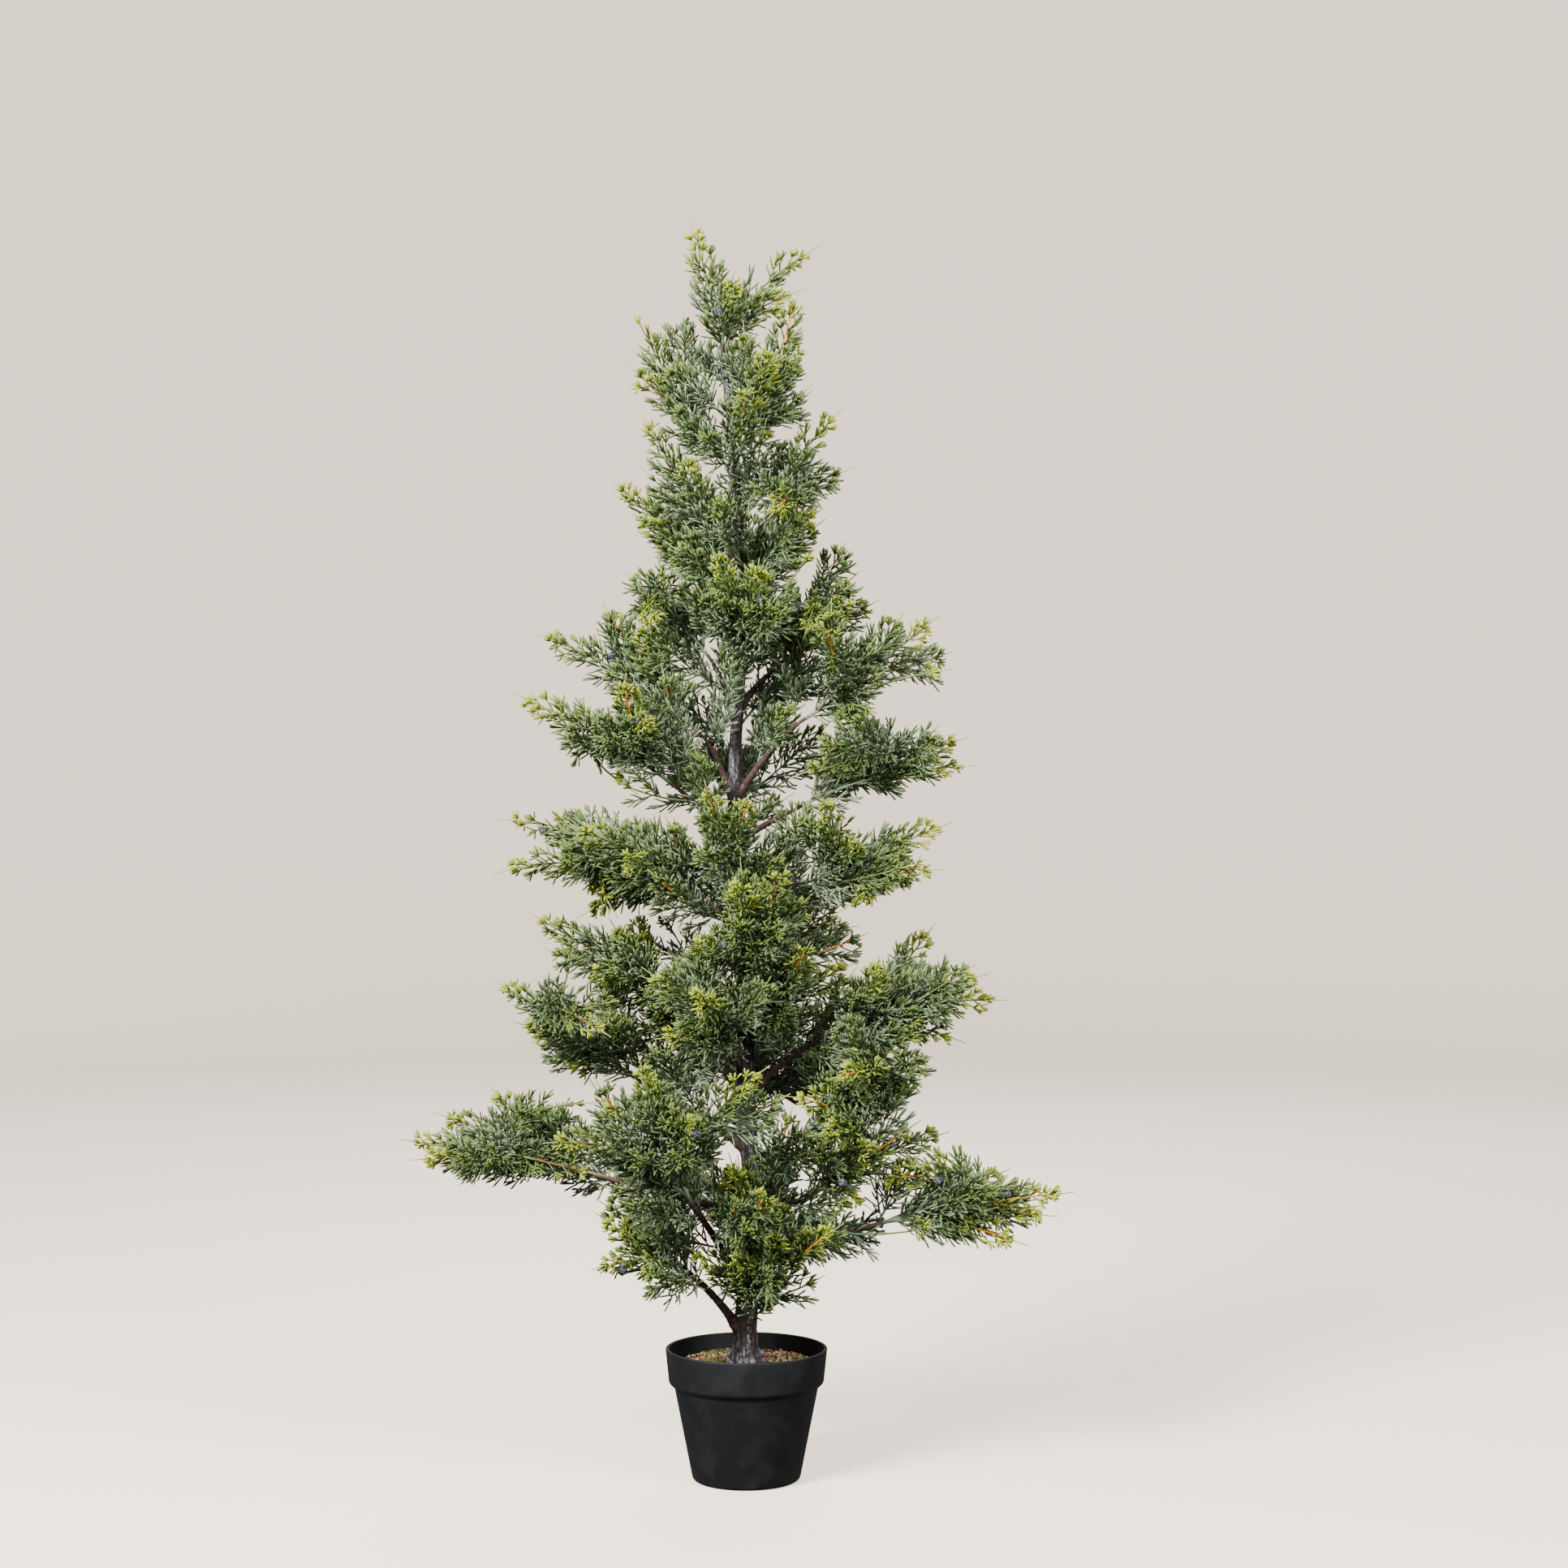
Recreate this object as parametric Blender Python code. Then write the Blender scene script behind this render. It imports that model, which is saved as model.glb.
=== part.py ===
"""An artificial juniper tree in a round black nursery pot.

The tree is moulded over a wire core: a trunk with bark, boughs set into the trunk, and sprays of
soft plastic needles on wrapped twigs. The fill of the pot holds the trunk upright. Metres, +Z up.
The origin is the centre of the pot's underside. The tree's front faces -Y, and +X is its right.
"""

import math
import random

import bmesh
import bpy
from mathutils import Matrix, Vector
from mathutils.bvhtree import BVHTree

GAP = 0.0003  # between neighbouring pieces
CLEARANCE = 0.0005  # that a twig or leaf keeps from other foliage and limbs
SLIVER = 0.00002  # edges shorter than this are closed up after a union

# Pot and fill
POT_HEIGHT = 0.127
POT_BASE_RADIUS = 0.052
POT_BODY_RADIUS = 0.070  # where the plain body meets the collar
COLLAR_HEIGHT = 0.034
COLLAR_STEP = 0.0045  # how far the collar stands out of the body
POT_RIM_RADIUS = 0.0785
POT_WALL = 0.003
POT_FOOT_ROUND = 0.004
POT_SIDES = 32
SOIL_LEVEL = 0.109
SOIL_DIP = 0.003  # the fill is a little lower at the wall than round the trunk
SOIL_FLAT_RADIUS = 0.030

# Trunk: height, offset to the right, offset to the back and radius of each bend
TRUNK_BENDS = (
    (SOIL_LEVEL + GAP, 0.000, 0.000, 0.0150),
    (0.143, -0.001, 0.001, 0.0118),
    (0.200, 0.003, 0.002, 0.0106),
    (0.285, 0.005, 0.004, 0.0092),
    (0.361, 0.000, 0.003, 0.0088),
    (0.494, -0.003, -0.002, 0.0075),
    (0.623, -0.011, 0.002, 0.0064),
    (0.700, -0.011, 0.004, 0.0064),
    (0.781, -0.007, 0.000, 0.0050),
    (0.935, -0.009, -0.003, 0.0040),
    (1.060, -0.019, 0.000, 0.0035),
    (1.092, -0.023, 0.002, 0.0030),
)
TRUNK_SIDES = 10
TRUNK_RINGS = 26
ROOT_LOBES = 5
ROOT_FLARE = 0.006  # how far the roots stand out of the trunk's foot
ROOT_RISE = 0.016  # the height over which they run out

# Boughs and twigs
BOUGH_ROOT_RADIUS = 0.0056
BOUGH_TIP_RADIUS = 0.0034
CROWN_THINNING = 0.45  # share of its radius that a bough at the trunk's top has lost
BOUGH_SIDES = 6
BOUGH_RINGS = 5
ROOT_SPAN = 0.008  # half the height of trunk that a limb's root covers
STEM_RADIUS = 0.0028
TWIG_RADIUS = 0.0021
TWIG_TIP_RADIUS = 0.0010

# Sprays: the outer part of each twig, where needles make a slim core that longer leaves stand
# out of. The twig ends in a bare spike.
SPRAY_LENGTH = 0.175
SPIKE_LENGTH = 0.020
CORE_RADIUS = 0.0160
CORE_FITS = (1.0, 0.7, 0.45, 0.25)  # shares of that radius, of which a spray takes the first that fits
CORE_SHAPE = ((0.0, 0.25), (0.28, 1.0), (0.72, 0.78), (1.0, 0.2))  # place along it, share of radius
TWIG_SIDES = 3
LEAF_SPACING = 0.027
LEAF_LENGTH = 0.047
LEAF_FITS = (1.0, 0.85, 0.7, 0.55)  # shares of its length, of which a leaf takes the first that fits
LEAF_WIDTH_SHARE = 0.44
LEAF_THICKNESS_SHARE = 0.13
LEAF_WIDEST = 0.45  # share of a leaf's length
LEAF_ROOT_DEPTH = 0.0008
LEAF_LEAN = math.radians(38)  # between a leaf and its twig
LEAF_ROLL = math.radians(20)  # how far a leaf is rolled out of the plane of its twig
RANK_TURN = math.tau / TWIG_SIDES  # each leaf leaves the next face of its twig
RANK_JITTER = math.radians(12)

# Each branch: height of its root on the trunk, end of its bough, tips of its sprays. Ends and tips
# are given as turn (degrees from the right, towards the back), reach from the pot's axis, height.
# Where a branch has no bough, its foliage starts at the trunk.
BRANCHES = {
    "low_front": (
        0.151, None,
        ((286, 0.120, 0.261), (264, 0.100, 0.245), (317, 0.088, 0.207), (313, 0.135, 0.262)),
    ),
    "left_front_low": (
        0.152, (213, 0.072, 0.210),
        ((220, 0.187, 0.222), (206, 0.161, 0.270), (231, 0.148, 0.209)),
    ),
    "left_front": (
        0.182, (235, 0.087, 0.274),
        ((235, 0.171, 0.425), (278, 0.172, 0.417), (228, 0.270, 0.350), (223, 0.191, 0.385),
         (257, 0.185, 0.372)),
    ),
    "back_low": (0.194, None, ((54, 0.185, 0.209), (120, 0.150, 0.300), (85, 0.190, 0.290))),
    "front_low": (0.206, None, ((277, 0.161, 0.300), (262, 0.110, 0.330))),
    "right_low": (
        0.217, (351, 0.106, 0.243),
        ((0, 0.317, 0.277), (352, 0.273, 0.231), (11, 0.265, 0.293)),
    ),
    "left_low": (
        0.253, (177, 0.118, 0.285),
        ((180, 0.337, 0.328), (189, 0.325, 0.315), (171, 0.313, 0.349), (176, 0.255, 0.382),
         (180, 0.137, 0.364), (134, 0.167, 0.317), (212, 0.151, 0.303)),
    ),
    "right_low_upper": (
        0.253, (330, 0.059, 0.273),
        ((353, 0.170, 0.350), (11, 0.203, 0.331), (321, 0.158, 0.340), (296, 0.133, 0.346),
         (289, 0.095, 0.381)),
    ),
    "right_middle_low": (
        0.300, (343, 0.053, 0.334),
        ((6, 0.180, 0.398), (336, 0.121, 0.429), (320, 0.170, 0.417), (68, 0.086, 0.411),
         (299, 0.160, 0.401)),
    ),
    "left_middle_low": (
        0.324, (180, 0.098, 0.381),
        ((175, 0.253, 0.474), (190, 0.227, 0.446), (180, 0.187, 0.397), (231, 0.194, 0.441)),
    ),
    "back_middle_low": (0.345, None, ((78, 0.170, 0.445), (114, 0.175, 0.396), (43, 0.177, 0.374))),
    "left_middle_inner": (
        0.375, (142, 0.049, 0.407),
        ((138, 0.090, 0.509), (192, 0.095, 0.459), (100, 0.140, 0.470), (176, 0.150, 0.425)),
    ),
    "right_middle": (
        0.377, (342, 0.074, 0.428),
        ((0, 0.236, 0.489), (15, 0.192, 0.535), (349, 0.255, 0.467), (324, 0.155, 0.512)),
    ),
    "front_middle_low": (0.400, None, ((256, 0.175, 0.485), (232, 0.137, 0.435), (215, 0.120, 0.500))),
    "front_middle_right": (0.425, None, ((297, 0.135, 0.527), (5, 0.110, 0.500))),
    "left_middle": (
        0.457, (171, 0.064, 0.468),
        ((175, 0.215, 0.548), (189, 0.134, 0.545), (151, 0.122, 0.555), (201, 0.164, 0.489),
         (150, 0.140, 0.456)),
    ),
    "front_middle": (0.465, None, ((286, 0.145, 0.599), (267, 0.150, 0.588), (249, 0.150, 0.524))),
    "left_high": (
        0.489, (237, 0.039, 0.546),
        ((171, 0.247, 0.638), (187, 0.244, 0.587), (155, 0.215, 0.640), (211, 0.193, 0.633),
         (228, 0.176, 0.602)),
    ),
    "back_middle": (
        0.489, (64, 0.045, 0.506),
        ((48, 0.168, 0.529), (27, 0.111, 0.557), (85, 0.170, 0.570), (125, 0.170, 0.565)),
    ),
    "front_high": (0.544, None, ((254, 0.135, 0.676), (272, 0.140, 0.664))),
    "right_high": (
        0.552, (344, 0.053, 0.576),
        ((0, 0.200, 0.636), (342, 0.199, 0.591), (19, 0.182, 0.575), (301, 0.128, 0.666),
         (314, 0.154, 0.621), (325, 0.105, 0.550)),
    ),
    "left_upper_low": (
        0.615, (191, 0.067, 0.668),
        ((188, 0.228, 0.761), (222, 0.150, 0.776), (180, 0.104, 0.662), (238, 0.165, 0.733),
         (161, 0.153, 0.722)),
    ),
    "right_upper_low": (
        0.618, (0, 0.045, 0.647),
        ((8, 0.220, 0.719), (350, 0.225, 0.673), (34, 0.143, 0.760), (295, 0.098, 0.678),
         (36, 0.171, 0.715)),
    ),
    "back_high": (0.640, None, ((80, 0.170, 0.740), (112, 0.160, 0.700), (55, 0.160, 0.690))),
    "right_upper": (
        0.666, (345, 0.053, 0.732),
        ((351, 0.202, 0.783), (9, 0.190, 0.837), (295, 0.155, 0.824), (324, 0.152, 0.738)),
    ),
    "left_upper": (
        0.670, (180, 0.039, 0.715), ((172, 0.212, 0.821), (161, 0.152, 0.852), (197, 0.103, 0.845)),
    ),
    "left_top_low": (
        0.747, (180, 0.033, 0.791), ((171, 0.125, 0.883), (131, 0.106, 0.872), (228, 0.121, 0.815)),
    ),
    "right_top_low": (
        0.750, (43, 0.029, 0.780),
        ((32, 0.093, 0.889), (0, 0.110, 0.879), (331, 0.124, 0.846), (301, 0.105, 0.807)),
    ),
    "front_top_low": (0.772, None, ((276, 0.131, 0.881), (255, 0.122, 0.894), (315, 0.100, 0.900))),
    "back_crown": (0.820, None, ((95, 0.130, 0.930), (70, 0.120, 0.960))),
    "left_crown_low": (0.850, None, ((172, 0.136, 0.972), (144, 0.120, 0.968))),
    "right_crown_low": (0.858, None, ((15, 0.076, 0.986), (327, 0.091, 0.937), (280, 0.122, 0.918))),
    "left_crown": (0.890, None, ((180, 0.104, 1.034), (225, 0.085, 0.990))),
    "right_crown": (0.929, None, ((0, 0.095, 1.038), (48, 0.095, 1.000))),
    "front_crown": (0.968, None, ((272, 0.100, 1.050),)),
    "left_top": (0.978, None, ((185, 0.117, 1.080), (170, 0.116, 1.141))),
    "right_top": (0.990, None, ((0, 0.054, 1.113), (284, 0.083, 1.090))),
    "top": (None, None, ((180, 0.055, 1.223), (8, 0.068, 1.199), (98, 0.050, 1.174), (260, 0.061, 1.158))),
}


def clear_scene():
    for thing in list(bpy.data.objects):
        bpy.data.objects.remove(thing, do_unlink=True)


def make_material(name, colour, roughness):
    material = bpy.data.materials.new(name)
    material.use_nodes = True
    shader = material.node_tree.nodes["Principled BSDF"]
    shader.inputs["Base Color"].default_value = (*colour, 1.0)
    shader.inputs["Roughness"].default_value = roughness
    shader.inputs["Metallic"].default_value = 0.0
    return material


def add_object(name, mesh, material):
    mesh.materials.append(material)
    thing = bpy.data.objects.new(name, mesh)
    bpy.context.scene.collection.objects.link(thing)
    return thing


def mesh_of(name, solid):
    """A mesh datablock of one solid, which is a pair: its points and its faces."""
    mesh = bpy.data.meshes.new(name)
    mesh.from_pydata(solid[0], [], solid[1])
    return mesh


def turned(name, profile, material):
    """The solid that a closed profile of (radius, height) points makes when turned round Z."""
    shape = bmesh.new()
    points = [shape.verts.new((radius, 0, height)) for radius, height in profile]
    edges = [shape.edges.new((a, b)) for a, b in zip(points, points[1:])]
    bmesh.ops.spin(
        shape, geom=points + edges, axis=(0, 0, 1), cent=(0, 0, 0), angle=math.tau,
        steps=POT_SIDES, use_merge=True,
    )
    bmesh.ops.remove_doubles(shape, verts=shape.verts, dist=1e-6)
    bmesh.ops.recalc_face_normals(shape, faces=shape.faces)
    mesh = bpy.data.meshes.new(name)
    shape.to_mesh(mesh)
    shape.free()
    mesh.shade_smooth()
    mesh.set_sharp_from_angle(angle=math.radians(35))
    return add_object(name, mesh, material)


def body_radius(height):
    """Outer radius of the pot's plain body, which widens evenly from the foot to the collar."""
    share = height / (POT_HEIGHT - COLLAR_HEIGHT)
    return POT_BASE_RADIUS + (POT_BODY_RADIUS - POT_BASE_RADIUS) * share


def make_pot(material):
    collar_foot = POT_HEIGHT - COLLAR_HEIGHT
    foot_side = body_radius(POT_FOOT_ROUND)
    return turned("pot", (
        (0, 0),
        (foot_side - POT_FOOT_ROUND, 0),
        (foot_side - POT_FOOT_ROUND * 0.3, POT_FOOT_ROUND * 0.3),
        (foot_side, POT_FOOT_ROUND),
        (POT_BODY_RADIUS, collar_foot - 0.001),
        (POT_BODY_RADIUS + COLLAR_STEP, collar_foot + 0.001),
        (POT_RIM_RADIUS, POT_HEIGHT),
        (POT_RIM_RADIUS - POT_WALL, POT_HEIGHT),
        (body_radius(collar_foot) - POT_WALL, collar_foot),
        (body_radius(POT_WALL) - POT_WALL, POT_WALL),
        (0, POT_WALL),
    ), material)


def make_soil(material):
    collar_foot = POT_HEIGHT - COLLAR_HEIGHT
    inset = POT_WALL + GAP / math.cos(math.pi / POT_SIDES)
    edge_level = SOIL_LEVEL - SOIL_DIP
    share = (edge_level - collar_foot) / COLLAR_HEIGHT
    edge = POT_BODY_RADIUS + (POT_RIM_RADIUS - POT_BODY_RADIUS) * share
    return turned("soil", (
        (0, POT_WALL + GAP),
        (body_radius(POT_WALL) - inset, POT_WALL + GAP),
        (body_radius(collar_foot) - inset, collar_foot),
        (edge - inset, edge_level),
        (SOIL_FLAT_RADIUS, SOIL_LEVEL),
        (0, SOIL_LEVEL),
    ), material)


def trunk_at(height):
    """The trunk's centre and radius at a height, on a smooth curve through its bends."""
    bends = TRUNK_BENDS
    place = max(i for i in range(len(bends) - 1) if i == 0 or bends[i][0] <= height)
    around = [Vector(bends[min(max(place + i, 0), len(bends) - 1)]) for i in (-1, 0, 1, 2)]
    before, here, above, after = around
    span = above[0] - here[0]
    share = (height - here[0]) / span
    rise = (above - before) * (span / max(above[0] - before[0], span))
    onward = (after - here) * (span / max(after[0] - here[0], span))
    blend = (
        here * (2 * share**3 - 3 * share**2 + 1) + rise * (share**3 - 2 * share**2 + share)
        + above * (3 * share**2 - 2 * share**3) + onward * (share**3 - share**2)
    )
    return Vector((blend[1], blend[2], height)), blend[3]


def ring_axes(direction):
    """Two unit vectors square to a direction and to each other."""
    side = direction.cross(Vector((0, 0, 1)))
    if side.length < 0.1:
        side = direction.cross(Vector((0, 1, 0)))
    side.normalize()
    return side, side.cross(direction).normalized()


def tube(points, radii, sides, cut=None):
    """A closed tapering tube. Where cut is given, its first end lies in the plane square to cut."""
    corners, faces = [], []
    for place, (point, radius) in enumerate(zip(points, radii)):
        ahead = points[min(place + 1, len(points) - 1)]
        behind = points[max(place - 1, 0)]
        direction = (ahead - behind).normalized()
        across, over = ring_axes(direction)
        for step in range(sides):
            turn = math.tau * step / sides
            corner = across * (radius * math.cos(turn)) + over * (radius * math.sin(turn))
            if place == 0 and cut is not None:
                corner -= direction * (corner.dot(cut) / direction.dot(cut))
            corners.append(point + corner)
    for ring in range(len(points) - 1):
        for step in range(sides):
            low, high = ring * sides + step, ring * sides + (step + 1) % sides
            faces.append((low, high, high + sides, low + sides))
    faces.append(tuple(reversed(range(sides))))
    faces.append(tuple(range(len(corners) - sides, len(corners))))
    return corners, [tuple(reversed(face)) for face in faces]


def bend_through(start, bend, end, count):
    """Evenly shared points on the curve that leaves start towards bend and comes in to end."""
    shares = [step / (count - 1) for step in range(count)]
    return [start.lerp(bend, s).lerp(bend.lerp(end, s), s) for s in shares]


def tapered(first, last, count):
    return [first + (last - first) * step / (count - 1) for step in range(count)]


def at(turn, reach, height):
    """A place by its turn round the pot's axis in degrees, its reach from it, and its height."""
    return Matrix.Rotation(math.radians(turn), 3, "Z") @ Vector((reach, 0, height))


def make_trunk(material):
    foot, top = TRUNK_BENDS[0][0], TRUNK_BENDS[-1][0]
    corners, faces = [], []
    for ring in range(TRUNK_RINGS):
        height = foot + (top - foot) * (ring / (TRUNK_RINGS - 1)) ** 1.25
        centre, radius = trunk_at(height)
        flare = flare_at(height)
        for step in range(TRUNK_SIDES):
            turn = math.tau * step / TRUNK_SIDES
            reach = radius + flare * (0.6 + 0.4 * math.cos(ROOT_LOBES * turn))
            corners.append(centre + Vector((math.cos(turn), math.sin(turn), 0)) * reach)
    for ring in range(TRUNK_RINGS - 1):
        for step in range(TRUNK_SIDES):
            low, high = ring * TRUNK_SIDES + step, ring * TRUNK_SIDES + (step + 1) % TRUNK_SIDES
            faces.append((low, high, high + TRUNK_SIDES, low + TRUNK_SIDES))
    faces.append(tuple(reversed(range(TRUNK_SIDES))))
    faces.append(tuple(range(len(corners) - TRUNK_SIDES, len(corners))))
    mesh = mesh_of("trunk", (corners, faces))
    mesh.shade_smooth()
    mesh.set_sharp_from_angle(angle=math.radians(50))
    return add_object("trunk", mesh, material)


def flare_at(height):
    """How far the tallest root stands out of the trunk at a height."""
    return ROOT_FLARE * math.exp((TRUNK_BENDS[0][0] - height) / ROOT_RISE)


def root_on_trunk(height, target):
    """Where a limb that heads for target leaves the trunk, and the outward normal there."""
    centre, _ = trunk_at(height)
    outward = (target - centre).to_2d().to_3d().normalized()
    reach = 0
    for level in (height - ROOT_SPAN, height, height + ROOT_SPAN):
        middle, radius = trunk_at(level)
        reach = max(reach, (middle - centre).dot(outward) + radius + flare_at(level))
    return centre + outward * (reach + GAP), outward


def thinned(height):
    """Share of its full radius that a limb at this height has."""
    return 1 - CROWN_THINNING * height / TRUNK_BENDS[-1][0]


def bough_path(height, end):
    """A bough leaves the trunk steeply and flattens. Returns its points, radii and cut."""
    thinning = thinned(height)
    root_radius, tip_radius = BOUGH_ROOT_RADIUS * thinning, BOUGH_TIP_RADIUS * thinning
    start, outward = root_on_trunk(height, end)
    way = end - start
    bend = start + Vector((way.x * 0.42, way.y * 0.42, way.z * 0.58))
    points = bend_through(start, bend, end, BOUGH_RINGS)
    return points, tapered(root_radius, tip_radius, BOUGH_RINGS), outward


def leaf(point, direction, facing, length, extra=0.0):
    """A pointed leaf of eight faces, widest below its middle, with its root sunk into the twig."""
    across = direction.cross(facing).normalized() * (length * LEAF_WIDTH_SHARE / 2 + extra)
    through = facing * (length * LEAF_THICKNESS_SHARE / 2 + extra)
    middle = point + direction * (length * LEAF_WIDEST)
    rim = (middle + across, middle + through, middle - across, middle - through)
    corners = [point - direction * LEAF_ROOT_DEPTH, point + direction * (length + extra), *rim]
    faces = []
    for step in range(4):
        here, ahead = 2 + step, 2 + (step + 1) % 4
        faces += [(0, ahead, here), (1, here, ahead)]
    return corners, faces


def twig_curves(start, heading, tips):
    """Each twig's (root, bend, tip). The first carries its limb on, and the rest fork off it."""
    curves, forks = [], [(start, heading)]
    for tip in tips:
        root, lead = min(forks, key=lambda fork: abs((tip - fork[0]).length - SPRAY_LENGTH))
        way = tip - root
        bend = root + (lead + way.normalized() * 1.2).normalized() * (way.length * 0.42)
        curves.append((root, bend, tip))
        if len(curves) == 1:
            points = bend_through(root, bend, tip, 13)
            forks = [
                (points[place], (points[place + 1] - points[place]).normalized())
                for place in range(2, 8)
            ]
    return curves


def curve_length(curve):
    points = bend_through(*curve, 9)
    return sum((b - a).length for a, b in zip(points, points[1:]))


def on_curve(curve, share):
    """The point and the heading at a share of the way along a twig's curve."""
    root, bend, tip = curve
    low, high = root.lerp(bend, share), bend.lerp(tip, share)
    return low.lerp(high, share), (high - low).normalized()


def spray_reach(length):
    """The length of a twig's spray, which leaves the foot of a short twig bare."""
    return min(SPRAY_LENGTH, length * 0.93)


def twig(curve, root_radius, fit, cut=None, extra=0.0):
    """A twig: a bare foot, the core of its spray at a share of its full radius, and a spike."""
    length = curve_length(curve)
    spray = spray_reach(length)
    core = spray - SPIKE_LENGTH
    rings = [(0.0, root_radius)]
    for place, share in CORE_SHAPE:
        radius = max(CORE_RADIUS * fit * share, TWIG_TIP_RADIUS)
        rings.append((1 - (spray - core * place) / length, radius))
    rings.append((1.0, TWIG_TIP_RADIUS * 0.7))
    points = [on_curve(curve, share)[0] for share, _ in rings]
    return tube(points, [radius + extra for _, radius in rings], TWIG_SIDES, cut)


def spray_leaves(curve, rule):
    """Where the leaves of a twig stand, from its spike back to its root, in three ranks."""
    length = curve_length(curve)
    spray = spray_reach(length)
    distance, rank = SPIKE_LENGTH, rule.randrange(TWIG_SIDES)
    while distance < spray:
        point, along = on_curve(curve, 1 - distance / length)
        across, over = ring_axes(along)
        turn = (rank + 0.5) * RANK_TURN + rule.uniform(-RANK_JITTER, RANK_JITTER)
        outward = across * math.cos(turn) + over * math.sin(turn)
        lean = LEAF_LEAN * rule.uniform(0.85, 1.15)
        direction = along * math.cos(lean) + outward * math.sin(lean)
        roll = Matrix.Rotation(rule.uniform(-LEAF_ROLL, LEAF_ROLL), 3, direction)
        facing = roll @ along.cross(outward)
        size = LEAF_LENGTH * (0.5 + 0.5 * min(distance / spray / 0.7, 1))
        yield point, direction, facing, size * rule.uniform(0.92, 1.08)
        distance += LEAF_SPACING
        rank += 1


def surface(solid):
    return BVHTree.FromPolygons(*solid)


def touches(solid, taken, own):
    """Whether a solid meets anything in taken, which holds (owner, surface) pairs, but its own."""
    tree = surface(solid)
    return any(owner not in own and tree.overlap(other) for owner, other in taken)


def first_fit(fits, shape, taken, own):
    """The first of the shares whose shape touches nothing taken, or None where none is clear."""
    return next((fit for fit in fits if not touches(shape(fit), taken, own)), None)


def plan_branches():
    """Each branch's bough, where it has one, and the curves of its twigs."""
    plans = {}
    for name, (height, end, tips) in BRANCHES.items():
        tips = [at(*tip) for tip in tips]
        bough, cut = None, None
        if height is None:
            (top, _), (below, _) = (trunk_at(TRUNK_BENDS[-1][0] - drop) for drop in (0, 0.01))
            heading = (top - below).normalized()
            start = top + Vector((0, 0, GAP))
        elif end is None:
            middle = sum(tips, Vector()) / len(tips)
            start, cut = root_on_trunk(height, middle)
            heading = (cut + Vector((0, 0, 1))).normalized()
        else:
            bough = bough_path(height, at(*end))
            heading = (bough[0][-1] - bough[0][-2]).normalized()
            start = bough[0][-1] + heading * GAP
            cut = heading
        plans[name] = (bough, cut, twig_curves(start, heading, tips))
    return plans


def union_mesh(name, solids, solver):
    """The mesh of the solids' union, without sealed hollows or loose scraps."""
    others = bpy.data.collections.new(name + "_others")
    bpy.context.scene.collection.children.link(others)
    for place, solid in enumerate(solids[1:]):
        others.objects.link(bpy.data.objects.new(f"{name}_{place}", mesh_of(name, solid)))
    base = bpy.data.objects.new(name, mesh_of(name, solids[0]))
    bpy.context.scene.collection.objects.link(base)
    union = base.modifiers.new("Union", "BOOLEAN")
    union.operation = "UNION"
    union.operand_type = "COLLECTION"
    union.collection = others
    union.solver = solver
    with bpy.context.temp_override(object=base):
        bpy.ops.object.modifier_apply(modifier=union.name)
    mesh = base.data
    for thing in [base, *others.objects]:
        bpy.data.objects.remove(thing, do_unlink=True)
    bpy.data.collections.remove(others)
    keep_outer_body(mesh)
    return mesh


def fuse(name, solids, material):
    """One object that joins the solids, by the second solver where the first leaves it open."""
    for solver in ("EXACT", "MANIFOLD"):
        mesh = union_mesh(name, solids, solver)
        corners = [corner for face in mesh.polygons for corner in face.edge_keys]
        if all(corners.count(edge) == 2 for edge in set(corners)):
            break
    return add_object(name, mesh, material)


def keep_outer_body(mesh):
    """Removes every separate shell but the largest, such as a hollow that the union has sealed."""
    shape = bmesh.new()
    shape.from_mesh(mesh)
    bmesh.ops.triangulate(shape, faces=shape.faces)
    bmesh.ops.dissolve_degenerate(shape, edges=shape.edges, dist=SLIVER)
    unseen, shells = set(shape.faces), []
    while unseen:
        shell, edge_of_shell = set(), [unseen.pop()]
        while edge_of_shell:
            face = edge_of_shell.pop()
            shell.add(face)
            near = {
                other for edge in face.edges if len(edge.link_faces) == 2
                for other in edge.link_faces
            } & unseen
            unseen -= near
            edge_of_shell += near
        shells.append(shell)
    outer = max(shells, key=len)
    bmesh.ops.delete(shape, geom=[f for f in shape.faces if f not in outer], context="FACES")
    shape.to_mesh(mesh)
    shape.free()


def make_bough(name, points, radii, cut, material):
    """A bough's object. Returns its surface, which foliage keeps clear of."""
    solid = tube(points, radii, BOUGH_SIDES, cut)
    mesh = mesh_of(name, solid)
    mesh.shade_smooth()
    mesh.set_sharp_from_angle(angle=math.radians(70))
    add_object(name, mesh, material)
    return surface(solid)


def grow_twigs(plans, masses, taken):
    """Adds every twig that is clear of its neighbours. Returns each one's mass, name and curve."""
    sprays = []
    for name, (_, cut, curves) in plans.items():
        for order, curve in enumerate(curves):
            leads = order == 0
            root_radius = (STEM_RADIUS if leads else TWIG_RADIUS) * thinned(curve[0].z)
            own = ["trunk", name + "_bough"] if leads else [f"{name} {i}" for i in range(order)]
            fit = first_fit(
                CORE_FITS, lambda fit: twig(curve, root_radius, fit, None, CLEARANCE), taken, own
            )
            if fit:
                solid = twig(curve, root_radius, fit, cut if leads else None)
                masses[name].append(solid)
                taken.append((f"{name} {order}", surface(solid)))
                sprays.append((name, f"{name} {order}", curve))
    return sprays


def grow_leaves(sprays, masses, taken):
    """Adds every leaf that is clear of all but its own twig, shorter where it has to be."""
    for name, spray, curve in sprays:
        for point, direction, facing, length in spray_leaves(curve, random.Random(spray)):
            fit = first_fit(
                LEAF_FITS, lambda fit: leaf(point, direction, facing, length * fit, CLEARANCE),
                taken, [spray],
            )
            if fit:
                solid = leaf(point, direction, facing, length * fit)
                masses[name].append(solid)
                taken.append(("leaf", surface(solid)))


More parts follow.
